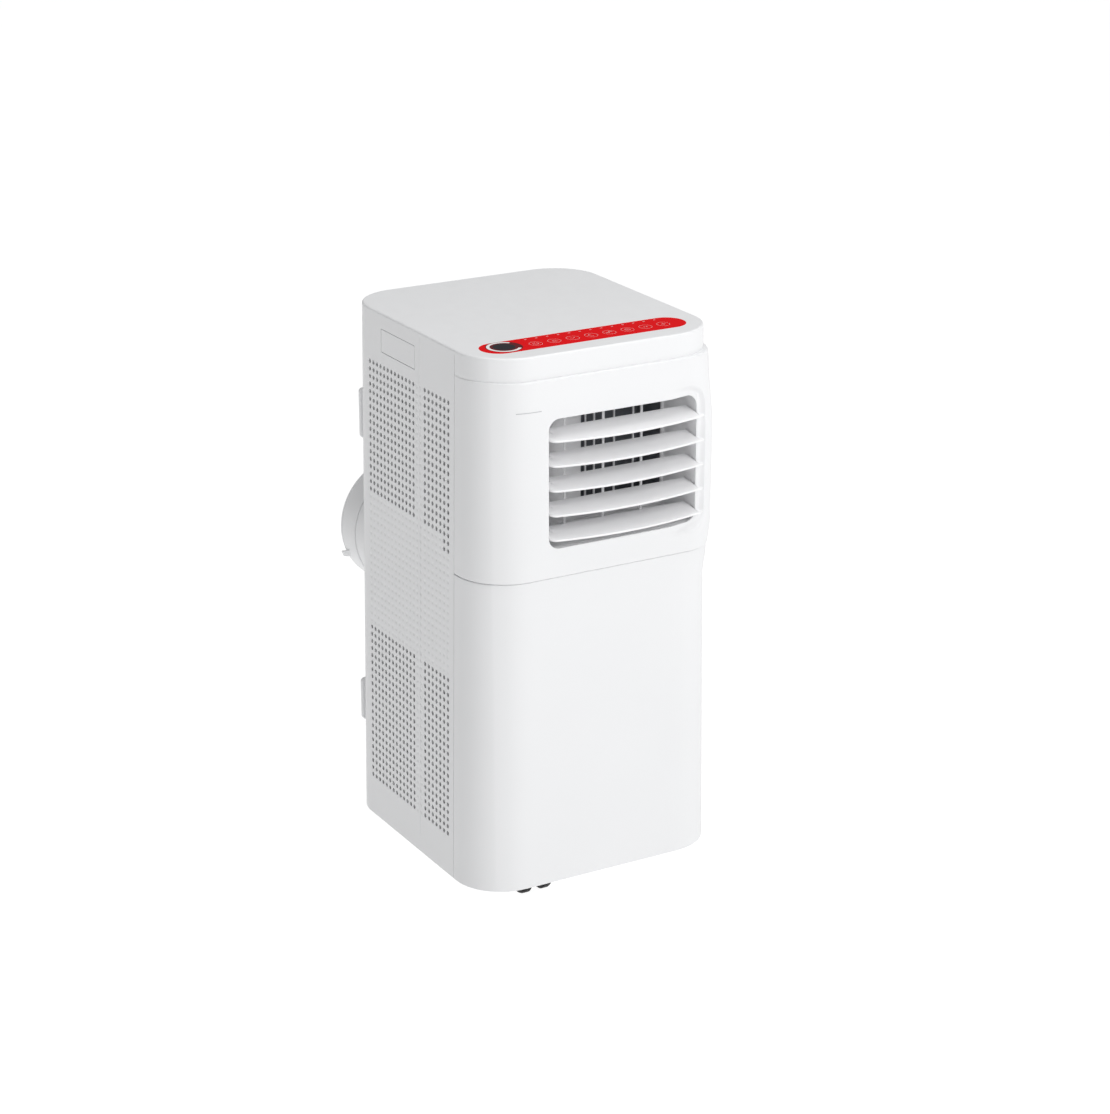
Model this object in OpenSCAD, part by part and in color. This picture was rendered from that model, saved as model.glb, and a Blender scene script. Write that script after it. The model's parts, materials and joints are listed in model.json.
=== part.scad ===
// Portable air conditioner: casing, louvred air outlet, cooling circuit, fans and casters.
// Millimetres. +Z is up, the front faces -Y and +X is to the right seen from the front.
// The origin is on the floor, below the middle of the whole object.

/* [Body] */
// Height of the top above the floor
total_h = 683; // [640:1:720]
// Width across the top edge
top_w = 319; // [310:1:340]
// Depth from the front face to the back face
body_d = 352; // [345:1:380]
// Outward lean of both sides towards the bottom, in degrees
draft = 0.887; // [0.5:0.05:1.2]
// Gap between the floor and the underside of the casing
ground_gap = 22; // [20:1:26]
// Plan radius of the front corners
front_r = 62; // [55:1:68]
// Plan radius of the rear corners
rear_r = 60; // [54:1:62]
// Wall thickness of the casing mouldings
wall = 2.6; // [2:0.1:3.2]
// Width of the joint line between two mouldings
seam = 0.8; // [0.4:0.1:1.2]

/* [Front] */
// Height of the seam under the top fascia
fascia_z = 655; // [650:1:658]
// Height of the seam between the upper and lower front shells
mid_seam_z = 413; // [405:1:425]
// How far the upper front shell stands in front of the others
shell_proud = 2.5; // [1:0.5:4]
// Plan radius of the filled corner beside the air outlet
outlet_corner_r = 42; // [40:1:50]
// Distance from the front face to the seam between front and side
side_seam_in = 69.5; // [66:0.5:74]

/* [Air outlet] */
// Width of the outlet opening
outlet_w = 203; // [195:1:206]
// Height of the outlet opening
outlet_h = 157; // [155:1:160]
// Distance of the outlet's middle from the body's centre plane
outlet_x = 23.8; // [20:0.2:24]
// Height of the outlet's middle
outlet_z = 528; // [524:1:532]
// Corner radius of the outlet opening
outlet_r = 14; // [8:1:18]
// Distance from one louver blade to the next
louver_pitch = 29.9; // [29:0.1:30.5]
// Downward tilt of the louver blades at rest, in degrees
louver_tilt = 10; // [0:1:15]
// Length of a blade in front of its pivot, at its ends
louver_reach = 21; // [18:0.5:23]
// Extra forward bow of a blade at its middle
louver_bow = 11; // [6:1:12]

/* [Side panels] */
// Distance between neighbouring perforations
hole_pitch = 9.5; // [9.3:0.1:9.6]
// Diameter of a perforation
hole_d = 5.6; // [4.8:0.1:6.2]
// Width of the carrying handle flap
handle_w = 88; // [80:1:92]
// Height of the carrying handle flap
handle_h = 29; // [26:1:32]

/* [Exhaust] */
// Outer radius of the hose adapter
adapter_r = 83; // [80:0.5:84]
// How far the hose adapter stands out behind the body
adapter_out = 40; // [36:1:46]
// Distance of the exhaust from the centre plane, towards the left
exhaust_x = 72; // [68:1:74]
// Height of the exhaust's centre
exhaust_z = 372; // [370:1:376]

/* [Casters] */
// Radius of a caster wheel
wheel_r = 20; // [18:0.5:20]
// Distance from the swivel axis to the wheel axle
trail = 14; // [10:1:15]
// Distance of the swivel axes from the centre plane
caster_x = 81; // [76:1:84]
// Distance of the swivel axes in front of and behind the body's middle
caster_y = 126; // [120:1:128]

/* [Hidden] */
$fn = 64;

// Fits and small gaps
run = 0.05;
clear = 0.4;
big = 1000;

// Louver pivots: depth behind the front face, blade thickness and the crank arm of the link
pivot_in = 14;
blade_t = 2;
blade_tail = 12;
pin_r = 2;
tip_out = 6.5;
crank_y = 8;
crank_z = -5;
louver_n = 5;
louver_out = (louver_reach + louver_bow) * cos(louver_tilt) + blade_t / 2 * sin(louver_tilt) - pivot_in;

// Depth positions: the whole depth runs from the blade lips to the hose adapter's end
mid_y = (louver_out - adapter_out) / 2;
front_y = mid_y - body_d / 2;
back_y = mid_y + body_d / 2;
side_seam_y = front_y + side_seam_in;
rear_seam_y = back_y - 54;

// Half width of the casing at a given height
function half_w(z) = top_w / 2 + (total_h - z) * tan(draft);

// Overlap that keeps cutting solids clear of the faces they cut
over = 1;

// Top cover: plate, and the depth and width of the relief under it
lid_t = 6;
lid_ledge = 4;
lid_relief = 3;

// Perforated fields, measured from the top edge and from the rear seam
hole_top_z = 617;
rear_cols = 13;
front_cols = 7;
upper_rows = 18;
blind_rows = 18;
lower_rows = 22;
first_col_y = rear_seam_y - 12;
front_col_y = mid_y - 33;
front_pitch_y = 9.8;

// Handle flap, its pocket and its hinge
handle_y = mid_y + 35.5;
handle_z = 649.5;
pocket_depth = 34;
pocket_wall = 2.6;
pocket_room = 2.4;
flap_t = 2.2;
flap_gap = 0.7;
hinge_in = 4.4;
hinge_drop = 2.4;
hinge_r = 1.5;
hinge_pin = 2;
hinge_lug_w = 6;
hinge_lug_h = 4.8;
hinge_lug_in = 3;

// Air outlet duct
duct_wall = 2.4;
duct_back = 78;
flange_w = 8;
flange_over = 2;
flange_back = 1.6;
outlet_left = outlet_x - outlet_w / 2;
outlet_right = outlet_x + outlet_w / 2;
outlet_low = outlet_z - outlet_h / 2;
outlet_high = outlet_z + outlet_h / 2;
outlet_side_gap = 0.2;
fill_below = 12;
fill_above = 14;
louver_y = front_y + pivot_in;
louver_top_z = outlet_z + 2 * louver_pitch - 3.8;

// Tips on the right of the blades, and the bar and crank pins that link them
tip_y = -18.5;
tip_root_y = -13.5;
blade_side_gap = 0.9;
link_x = outlet_left + 8;
link_slot_w = 8;
link_slot_y = 2;
link_t = 3;
link_w = 5.2;
link_pin_r = 1.2;
link_end = 4;
crank_w = 6;
crank_t = 2;
swing_pin = 12;

// Height and depth of the crank pins from the pivots, with the blades at rest
link_dy = crank_y * cos(louver_tilt) - crank_z * sin(louver_tilt);
link_dz = crank_y * sin(louver_tilt) + crank_z * cos(louver_tilt);

// Motor that swings the blades
swing_r = 12;
swing_len = 19;
swing_plate = [2, 7, 40];

// Guard bars of the outlet: left edge from the window's left edge, and width of each gap
guard_gaps = [[0, 6], [7.5, 10.5], [19.5, 26], [47, 25]];
guard_last = 73.5;
guard_window_x = outlet_x - 13;
guard_margin = 4;

// Vertical vanes
vane_y = front_y + 46;
vane_pitch = 52.4;
vane_depth = 32;
vane_t = 1.8;
vane_crank = 10;
vane_n = 3;
// Turn of the vanes at rest, in degrees, and the place of their crank pins from their axes
vane_turn = -30;
vane_dx = -vane_crank * sin(vane_turn);
vane_dy = vane_crank * cos(vane_turn);
vane_pin_r = 1.6;
vane_pin_out = 1.4;
vane_link_r = 0.85;
vane_link_t = 2.6;
vane_link_w = 5;

// Control panel
panel_l = 272;
panel_w = 48;
panel_y = mid_y - 125.5;
panel_t = 1.4;
panel_gap = 0.3;
display_x = -104.5;
display_r = 14;
display_h = 6;
display_board_size = [230, 34, 1.6];

// Upper fan: wheel and spiral housing
up_fan_x = 24;
up_fan_z = 372;
up_fan_r = 66;
up_volute_r = 80;
up_volute_y = front_y + duct_back + 0.5;
up_volute_d = 60;

// Lower fan: wheel, spiral housing and exhaust tube
low_fan_z = 165;
low_fan_r = 58;
low_volute_r = 70;
low_volute_y = back_y - 125;
low_volute_d = 60;
exhaust_bore_r = 73;
exhaust_tube_r = 68;
exhaust_tube_bore_r = 65.5;
exhaust_tube_gap = 0.3;
low_volute_top = exhaust_z + 72;
shaft_r = 4;

// Blower wheels: hub plate, hub, shaft, rim and blades
wheel_gap = 8;
blower_w = 42;
blower_plate = 2;
blower_hub_r = 9;
blower_hub_h = 16;
shaft_back = 38;
shaft_len = 60;
rim_t = 3;
rim_w = 11;
fan_blade = [9.5, 1.4];
fan_blade_turn = 35;
shaft_hole_r = 9;

// Fan motors: can, flange and bearing bore
motor_can_r = 36;
motor_can_h = 45;
motor_flange_r = 44;
motor_flange_t = 2;
motor_bore = 34;

// Heat exchangers
coil_w = 230;
coil_d = 28;
coil_y = back_y - 54;
evap_z = 480;
evap_h = 150;
cond_z = 63;
cond_h = 218;
tube_pitch = 25;
tube_end = 6;
tube_r = 3.5;
fin_t = 0.8;
fin_groups = 22;
coil_plate = 2;
liquid_x = 148;
drier_z = 180;
drier_h = 60;
drier_r = 8;

// Evaporator tray: rim around the coil, wall and height
tray_rim = 9;
tray_wall = 2;
tray_drop = 10;
tray_h = 14;

// Intake grilles at the back
grille_w = 204;
grille_t = 2.4;
grille_gap = 0.5;
grille_slot = [84, 5.2];
grille_slot_x = 48;
grille_slot_pitch = 9.5;
grille_margin = 9;
clip_size = [4, 8, 20];
filter_in = 12;
filter_margin = 6;
filter_t = 4;
filter_rib = 4;
filter_skin = 0.8;
upper_grille_z = 478;
upper_grille_h = 154;
lower_grille_z = 58;
lower_grille_h = 212;

// Base pan, partition and compressor
base_wall_h = 38;
pan_floor = 3;
pan_wall = 2.6;
pocket_r = 41;
pocket_top = 47;
boss_top = 62;
boss_r = 10;
slinger_x = 30;
slinger_z = 80;
slinger_in = 12;
slinger_r = 14;
slinger_t = 3;
slinger_paddles = 8;
slinger_shaft_r = 2;
slinger_can_r = 17;
stem_r = 5;
tray_z = 283;
partition_t = 3;
partition_gap = 2;
pipe_pass = [26, 16];
comp_x = 76;
comp_y = mid_y - 66;
comp_r = 52;
comp_z = 76;
comp_h = 190;
comp_foot_t = 4;
comp_dome = 20;
grommet_at = 34;
grommet_h = 14;
grommet_r = 9;
foot_turns = [30, 150, 270];
acc_x = comp_x - comp_r - 24;
acc_z = comp_z + 40;
acc_r = 20;
acc_h = 110;

// Suction, discharge and liquid lines
suction_r = 4;
hot_r = 3;
liquid_r = 1.8;

// Control box on the partition
box_x = 96;
box_y = mid_y + 6;
box_z = tray_z + 3;
box_size = [46, 84, 126];
box_wall = 1.5;
capacitor_r = 15;
capacitor_len = 62;

// Back: drains, cord gland, ring that carries the hose adapter
drain_x = 108;
upper_drain_z = 310;
lower_drain_z = 36;
drain_r = 7;
gland_x = 104;
gland_z = 380;
gland_r = 7;
cord_r = 3.6;
plug_in = 9;
plug_flange_r = 10;
plug_flange_t = 3;
plug_grip = [4, 12, 5];
ring_r = 76;
ring_boss_r = 82;
ring_boss_depth = 30;
ring_out = 8;
neck_gap = 0.5;
adapter_wall = 4;
lug_size = [9, 10, 12];
lug_turn = 157;

// Cord hooks: height of the neck, bottom and top of the plate, outer edge of the plate
hooks = [[496, 491, 556, 133], [150, 112, 169, 140]];
hook_neck = [12, 19, 16];
hook_plate_t = 6;
hook_inner_x = 106;
hook_root = 5;

// Screws in the back: head, slots and places
screw_head_r = 4;
screw_head_h = 1.8;
screw_slot = [5.2, 1, 2];
screw_x = 97;
screw_heights = [50, 284, 466, 660];

// Caster wheels, and the top of the hood between them
wheel_w = 13;
hub_w = 13;
wheel_gap_x = 0.5;
axle_r = 3;
hood_top = wheel_r + 21;
hood_end = 8;
collar_r = 9;
// Direction in which each caster trails at rest, in degrees from the front
caster_turns = [0, 180, 0, 0];

// Colours
shell_white = [0.93, 0.93, 0.94];
inner_white = [0.88, 0.88, 0.9];
signal_red = [0.86, 0.02, 0.04];
soft_black = [0.06, 0.06, 0.07];
copper = [0.72, 0.43, 0.25];
metal = [0.72, 0.73, 0.75];
board_green = [0.1, 0.35, 0.2];
foam_grey = [0.35, 0.36, 0.38];

// ---------- shared shapes ----------

// Places a shape drawn against the left side plane: x runs inwards, z = 0 is the top edge.
module on_side(side) {
    if (side < 0)
        translate([-top_w / 2, 0, total_h]) rotate([0, draft, 0]) children();
    else
        mirror([1, 0, 0]) translate([-top_w / 2, 0, total_h]) rotate([0, draft, 0]) children();
}

// Plan of one half of the casing, x from the side plane towards the middle.
module half_plan(inset, r_front, r_back, y0, y1) {
    rf = r_front - inset;
    rb = r_back - inset;
    difference() {
        translate([inset, y0]) square([top_w, y1 - y0]);
        translate([inset - 1, y0 - 1]) square([rf + 1, rf + 1]);
        translate([inset - 1, y1 - rb]) square([rb + 1, rb + 1]);
    }
    translate([inset + rf, y0 + rf]) circle(rf);
    translate([inset + rb, y1 - rb]) circle(rb);
}

// Solid of the casing between two heights, moved inwards by inset.
module casing(inset, z0, z1, proud = 0, r_left = front_r, r_right = front_r) {
    for (side = [-1, 1])
        intersection() {
            on_side(side)
                translate([0, 0, -total_h])
                    linear_extrude(total_h + 20)
                        half_plan(inset, side < 0 ? r_left : r_right, rear_r,
                                  front_y - proud + inset, back_y - inset);
            translate([side < 0 ? -big : 0, -big, z0]) cube([big, 2 * big, z1 - z0]);
        }
}

module keep_front(y) {
    intersection() {
        children();
        translate([-big, -big, -1]) cube([2 * big, big + y, big]);
    }
}

module keep_rear(y) {
    intersection() {
        children();
        translate([-big, y, -1]) cube([2 * big, big, big]);
    }
}

module rounded_rect(w, h, r) {
    translate([-w / 2, -h / 2 + r]) square([w, h - 2 * r]);
    translate([-w / 2 + r, -h / 2]) square([w - 2 * r, h]);
    for (x = [-1, 1], y = [-1, 1])
        translate([x * (w / 2 - r), y * (h / 2 - r)]) circle(r);
}

// Extrudes a shape drawn in x and z from y0 to y1.
module along_y(y0, y1) {
    translate([0, y1, 0]) rotate([90, 0, 0]) linear_extrude(y1 - y0) children();
}

// Straight rod between two points.
module rod(a, b, r) {
    d = b - a;
    len = norm(d);
    translate(a)
        rotate([0, acos(d[2] / len), atan2(d[1], d[0])])
            cylinder(h = len, r = r);
}

// Pipe through a list of points, with a ball in each bend.
module pipe(points, r) {
    for (i = [1:len(points) - 1]) rod(points[i - 1], points[i], r);
    for (i = [1:len(points) - 2]) translate(points[i]) sphere(r);
}

module stadium(l, w) {
    translate([-(l - w) / 2, -w / 2]) square([l - w, w]);
    for (x = [-1, 1]) translate([x * (l - w) / 2, 0]) circle(w / 2);
}

// ---------- casing ----------

module top_cover() {
    color(shell_white)
        difference() {
            union() {
                casing(0, total_h - lid_t, total_h);
                keep_front(side_seam_y - seam)
                    difference() {
                        casing(0, fascia_z, total_h - lid_t);
                        casing(wall, fascia_z - over, total_h);
                    }
            }
            translate([0, panel_y, total_h - panel_t])
                linear_extrude(panel_t + over) stadium(panel_l, panel_w);
            casing(wall + lid_ledge, total_h - lid_t - over, total_h - lid_t + lid_relief);
        }
}

module control_panel() {
    color(signal_red)
        translate([0, panel_y, total_h - panel_t])
            linear_extrude(panel_t) stadium(panel_l - 2 * panel_gap, panel_w - 2 * panel_gap);
}

module display_board() {
    size = display_board_size;
    board_z = total_h - lid_t - 8;
    color(board_green)
        translate([-size[0] / 2, panel_y - size[1] / 2, board_z]) cube(size);
    color(soft_black)
        translate([display_x, panel_y, board_z + size[2]]) cylinder(h = display_h, r = display_r);
}

// Opening in the front, wider on the right where the blade tips pass over the duct's flange.
module outlet_cut(y0, y1) {
    translate([outlet_x + flange_w / 2, 0, outlet_z])
        along_y(y0, y1) rounded_rect(outlet_w + flange_w, outlet_h, outlet_r);
}

// Beside the outlet the right corner is filled out to a smaller radius.
module front_upper_shell() {
    z0 = mid_seam_z + seam;
    z1 = fascia_z - seam;
    fill_low = outlet_low - fill_below;
    fill_high = outlet_high + fill_above;
    color(shell_white)
        keep_front(side_seam_y - seam)
            difference() {
                union() {
                    casing(0, z0, fill_low, shell_proud);
                    casing(0, fill_low, fill_high, shell_proud, front_r, outlet_corner_r);
                    casing(0, fill_high, z1, shell_proud);
                }
                casing(wall, z0 - over, fill_low + wall, shell_proud);
                casing(wall, fill_low + wall, fill_high - wall, shell_proud, front_r, outlet_corner_r);
                casing(wall, fill_high - wall, z1 + over, shell_proud);
                outlet_cut(front_y - front_r, front_y + front_r);
            }
}

module front_lower_panel() {
    color(shell_white)
        keep_front(side_seam_y - seam)
            difference() {
                casing(0, ground_gap, mid_seam_z);
                casing(wall, ground_gap - over, mid_seam_z + over);
            }
}

// Rows of perforations, drawn with x along the depth and y up.
module hole_field(cols, rows, pitch_y) {
    for (c = [0:cols - 1], r = [0:rows - 1])
        translate([-c * pitch_y, -r * hole_pitch]) circle(d = hole_d, $fn = 24);
}

module side_panel(side) {
    panel_h = total_h - lid_t - ground_gap;
    inner_h = handle_h + 2 * pocket_room;
    // first column, number of columns and pitch of the rear and the front field
    fields = [[first_col_y, rear_cols, hole_pitch], [front_col_y, front_cols, front_pitch_y]];
    color(shell_white)
        on_side(side) {
            // perforated sheet
            translate([0, 0, -total_h])
                rotate([90, 0, 90])
                    linear_extrude(wall)
                        difference() {
                            translate([side_seam_y, ground_gap])
                                square([rear_seam_y - side_seam_y, panel_h]);
                            for (f = fields) {
                                translate([f[0], hole_top_z]) hole_field(f[1], upper_rows, f[2]);
                                translate([f[0], hole_top_z - (upper_rows + blind_rows) * hole_pitch])
                                    hole_field(f[1], lower_rows, f[2]);
                            }
                            translate([handle_y, handle_z]) square([handle_w, handle_h], center = true);
                        }
            // grip pocket behind the flap
            translate([0, 0, -total_h])
                difference() {
                    translate([wall, handle_y - handle_w / 2 - wall, handle_z - inner_h / 2 - pocket_wall])
                        cube([pocket_depth, handle_w + 2 * wall, inner_h + 2 * pocket_wall]);
                    translate([0, handle_y - handle_w / 2, handle_z - inner_h / 2])
                        cube([pocket_depth, handle_w, inner_h]);
                    translate([hinge_in, handle_y - handle_w, handle_z + handle_h / 2 - hinge_drop])
                        rotate([-90, 0, 0]) cylinder(h = 2 * handle_w, r = hinge_r + run);
                }
        }
}

module handle_flap(side) {
    flap_w = handle_w - 2 * flap_gap;
    color(shell_white)
        on_side(side)
            translate([0, handle_y - flap_w / 2, handle_z - total_h]) {
                translate([0, 0, -handle_h / 2 + flap_gap])
                    cube([flap_t, flap_w, handle_h - 2 * flap_gap]);
                for (y = [hinge_lug_in, flap_w - hinge_lug_in - hinge_lug_w])
                    translate([flap_t, y, handle_h / 2 - hinge_lug_h - flap_gap - 0.1])
                        cube([hinge_in, hinge_lug_w, hinge_lug_h]);
                translate([hinge_in, -hinge_pin, handle_h / 2 - hinge_drop])
                    rotate([-90, 0, 0]) cylinder(h = flap_w + 2 * hinge_pin, r = hinge_r);
            }
}

// Round hole from outside the back down to a depth inside it.
module back_hole(x, z, r, depth) {
    outside = 20;
    translate([x, back_y + outside, z]) rotate([90, 0, 0]) cylinder(h = depth + outside, r = r);
}

module rear_shell() {
    color(shell_white)
        difference() {
            union() {
                keep_rear(rear_seam_y + seam)
                    difference() {
                        casing(0, ground_gap, total_h - lid_t);
                        casing(wall, ground_gap - over, total_h);
                    }
                // boss that fills the rounded corner under the hose collar, with the collar's neck
                translate([-exhaust_x, back_y, exhaust_z])
                    rotate([-90, 0, 0]) {
                        translate([0, 0, -ring_boss_depth])
                            cylinder(h = ring_boss_depth - clear, r = ring_boss_r);
                        translate([0, 0, -wall]) cylinder(h = ring_out + wall, r = ring_r - neck_gap);
                    }
            }
            for (g = [[upper_grille_z, upper_grille_h], [lower_grille_z, lower_grille_h]])
                translate([-grille_w / 2 - grille_gap, back_y - 2 * wall, g[0] - grille_gap])
                    cube([grille_w + 2 * grille_gap, 4 * wall, g[1] + 2 * grille_gap]);
            back_hole(-exhaust_x, exhaust_z, exhaust_bore_r, ring_boss_depth + over);
            back_hole(drain_x, upper_drain_z, drain_r, plug_in + over);
            back_hole(drain_x, lower_drain_z, drain_r, plug_in + over);
            back_hole(gland_x, gland_z, gland_r, plug_in + over);
        }
}

module base_pan() {
    color(inner_white)
        difference() {
            union() {
                difference() {
                    casing(wall + clear, ground_gap, ground_gap + base_wall_h);
                    casing(wall + clear + pan_wall, ground_gap + pan_floor,
                           ground_gap + base_wall_h + over);
                }
                for (x = [-1, 1], y = [-1, 1])
                    translate([x * caster_x, mid_y + y * caster_y, ground_gap]) {
                        cylinder(h = pocket_top + pan_floor - ground_gap, r = pocket_r + 2.5);
                        cylinder(h = boss_top - ground_gap, r = boss_r);
                    }
                for (a = foot_turns)
                    translate([comp_x + grommet_at * cos(a), comp_y + grommet_at * sin(a), ground_gap])
                        cylinder(h = comp_z - grommet_h - ground_gap, r = grommet_r - over);
            }
            for (x = [-1, 1], y = [-1, 1])
                translate([x * caster_x, mid_y + y * caster_y, ground_gap - over]) {
                    cylinder(h = pocket_top + over - ground_gap, r = pocket_r);
                    cylinder(h = boss_top + 3 * over - ground_gap, r = stem_r + run);
                }
            back_hole(drain_x, lower_drain_z, drain_r, plug_in + over);
        }
}

module partition() {
    cut_h = partition_t + 3 * over;
    color(inner_white)
        difference() {
            casing(wall + 1, tray_z, tray_z + partition_t);
            translate([-exhaust_x - low_volute_r - partition_gap, low_volute_y - partition_gap,
                       tray_z - over])
                cube([2 * (low_volute_r + partition_gap), low_volute_d + 2 * partition_gap, cut_h]);
            // room for the hose neck and the coil pipes
            translate([-exhaust_x - adapter_r - 2, back_y - 70, tray_z - over])
                cube([2 * (adapter_r + 2), 80, cut_h]);
            translate([comp_x + 46, mid_y - pipe_pass[1] / 2, tray_z - over])
                cube([pipe_pass[0], pipe_pass[1], cut_h]);
        }
}

// ---------- air outlet ----------

function louver_z(i) = louver_top_z - i * louver_pitch;

// One blade in its own frame: the pivot runs along x, the lip points to -y.
module blade_plan() {
    front_cut = -80;
    bow_r = (outlet_w * outlet_w / 4 + louver_bow * louver_bow) / (2 * louver_bow);
    half = outlet_w / 2 - blade_side_gap;
    intersection() {
        translate([0, bow_r - louver_reach - louver_bow]) circle(bow_r, $fn = 200);
        polygon([[-half, blade_tail], [-half, front_cut], [half + tip_out, front_cut],
                 [half + tip_out, tip_y], [half, tip_root_y], [half, blade_tail]]);
    }
}

module louver_blade(i) {
    half = outlet_w / 2;
    slot_h = 16;
    color(inner_white)
        translate([outlet_x, louver_y, louver_z(i)])
            rotate([louver_tilt, 0, 0]) {
                difference() {
                    union() {
                        translate([0, 0, -blade_t / 2]) linear_extrude(blade_t) blade_plan();
                        rotate([0, 90, 0])
                            translate([0, 0, -half - pin_r]) cylinder(h = 2 * (half + pin_r), r = pin_r);
                    }
                    // slot through which the link bar passes
                    translate([link_x - outlet_x - link_slot_w / 2, link_slot_y, -slot_h / 2])
                        cube([link_slot_w, 2 * link_slot_y + slot_h, slot_h]);
                }
                translate([link_x - outlet_x + link_slot_w / 2, crank_y - crank_w / 2,
                           crank_z - crank_w / 2])
                    cube([crank_t, crank_w, -crank_z + crank_w / 2]);
                rotate([0, 90, 0])
                    translate([-crank_z, crank_y, link_x - outlet_x - 2.5])
                        cylinder(h = 7.5, r = link_pin_r);
                if (i == 2)
                    rotate([0, 90, 0])
                        translate([0, 0, -half - swing_pin]) cylinder(h = swing_pin + over, r = pin_r);
            }
}

module louver_link() {
    low = louver_z(louver_n - 1) + link_dz - link_end;
    high = louver_z(0) + link_dz + link_end;
    color(inner_white)
        difference() {
            translate([link_x - link_t / 2, louver_y + link_dy - link_w / 2, low])
                cube([link_t, link_w, high - low]);
            for (i = [0:louver_n - 1])
                translate([link_x - 5, louver_y + link_dy, louver_z(i) + link_dz])
                    rotate([0, 90, 0]) cylinder(h = 10, r = link_pin_r + run);
        }
}

module swing_motor() {
    x0 = outlet_left - outlet_side_gap - duct_wall;
    color(metal)
        difference() {
            union() {
                translate([x0 - swing_len, louver_y, louver_z(2)])
                    rotate([0, 90, 0]) cylinder(h = swing_len, r = swing_r);
                translate([x0 - swing_plate[0], louver_y - swing_plate[1] / 2,
                           louver_z(2) - swing_plate[2] / 2])
                    cube(swing_plate);
            }
            translate([x0 - swing_pin, louver_y, louver_z(2)])
                rotate([0, 90, 0]) cylinder(h = swing_len + over, r = pin_r + run);
        }
}

function vane_x(i) = outlet_x + (i - 1) * vane_pitch;

module vane(i) {
    z0 = outlet_low + 1;
    h = outlet_h - 2;
    color(inner_white)
        translate([vane_x(i), vane_y, 0]) rotate([0, 0, vane_turn]) {
            difference() {
                translate([-vane_t / 2, -vane_depth / 2, z0]) cube([vane_t, vane_depth, h]);
                translate([-5, vane_crank - 5, z0 - 1]) cube([10, 20, 9]);
            }
            translate([0, 0, outlet_low - vane_pin_out])
                cylinder(h = outlet_h + 2 * vane_pin_out, r = vane_pin_r);
            translate([0, vane_crank, z0 + 2.5]) cylinder(h = 7, r = vane_link_r);
        }
}

module vane_link() {
    end = 4;
    color(inner_white)
        difference() {
            translate([vane_x(0) + vane_dx - end, vane_y + vane_dy - vane_link_w / 2, outlet_low + 4])
                cube([2 * (vane_pitch + end), vane_link_w, vane_link_t]);
            for (i = [0:vane_n - 1])
                translate([vane_x(i) + vane_dx, vane_y + vane_dy, outlet_low])
                    cylinder(h = 20, r = vane_link_r + run);
        }
}

// Box behind the outlet opening that carries the blades and the vanes.
module outlet_duct() {
    w = outlet_w + 2 * outlet_side_gap;
    h = outlet_h + 2 * outlet_side_gap;
    y0 = front_y + wall + outlet_side_gap;
    y1 = front_y + duct_back;
    last_gap = [guard_last, outlet_right - 3 - guard_window_x - guard_last];
    color(inner_white)
        difference() {
            union() {
                translate([outlet_x, 0, outlet_z])
                    along_y(y0, y1) square([w + 2 * duct_wall, h + 2 * duct_wall], center = true);
                translate([outlet_right, y0 + flange_back, outlet_low - flange_over])
                    cube([flange_w + flange_over, duct_wall, outlet_h + 2 * flange_over]);
            }
            translate([outlet_x, 0, outlet_z])
                along_y(y0 - over, y1 - duct_wall) square([w, h], center = true);
            // window to the blower, with a few guard bars left standing
            for (gap = concat(guard_gaps, [last_gap]))
                translate([guard_window_x + gap[0], y1 - 2 * duct_wall, outlet_low + guard_margin])
                    cube([gap[1], 3 * duct_wall, outlet_h - 2 * guard_margin]);
            for (i = [0:louver_n - 1])
                translate([outlet_x - outlet_w, louver_y, louver_z(i)])
                    rotate([0, 90, 0]) cylinder(h = 2 * outlet_w, r = pin_r + run);
            for (i = [0:vane_n - 1])
                translate([vane_x(i), vane_y, outlet_low - 10])
                    cylinder(h = outlet_h + 20, r = vane_pin_r + run);
        }
}

// ---------- fans ----------

// Spiral housing drawn in x and z: a round chamber and a duct rising from it.
module volute_outline(cx, cz, r, x0, x1, top, inset) {
    translate([cx, cz]) circle(r - inset);
    translate([x0 + inset, cz]) square([x1 - x0 - 2 * inset, top - cz - inset]);
}

module upper_volute() {
    x0 = up_fan_x - up_volute_r + 12;
    x1 = outlet_right + 2;
    color(foam_grey)
        difference() {
            along_y(up_volute_y, up_volute_y + up_volute_d)
                volute_outline(up_fan_x, up_fan_z, up_volute_r, x0, x1, outlet_high + 3, 0);
            along_y(up_volute_y + duct_wall, up_volute_y + up_volute_d - duct_wall)
                volute_outline(up_fan_x, up_fan_z, up_volute_r, x0, x1, outlet_high + 3, duct_wall);
            translate([up_fan_x, up_volute_y + up_volute_d - 10, up_fan_z])
                rotate([-90, 0, 0]) cylinder(h = 20, r = up_fan_r - 14);
            translate([up_fan_x, up_volute_y - 10, up_fan_z])
                rotate([-90, 0, 0]) cylinder(h = 20, r = shaft_hole_r);
            translate([guard_window_x, up_volute_y - 5, outlet_low + guard_margin])
                cube([outlet_right - 3 - guard_window_x, 10, outlet_h - 2 * guard_margin]);
        }
}

// Squirrel-cage wheel on its shaft, with the axis along y.
module blower_wheel(r, w, blades) {
    rotate([-90, 0, 0]) {
        cylinder(h = blower_plate, r = r);
        cylinder(h = blower_hub_h, r = blower_hub_r);
        translate([0, 0, -shaft_back]) cylinder(h = shaft_len, r = shaft_r);
        translate([0, 0, w - rim_t])
            difference() {
                cylinder(h = rim_t, r = r);
                translate([0, 0, -over]) cylinder(h = rim_t + 2 * over, r = r - rim_w);
            }
        for (i = [0:blades - 1])
            rotate([0, 0, i * 360 / blades])
                translate([r - rim_w + over, 0, blower_plate - over])
                    rotate([0, 0, fan_blade_turn])
                        translate([0, -fan_blade[1] / 2, 0]) cube([fan_blade[0], fan_blade[1], w - rim_t]);
    }
}

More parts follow.
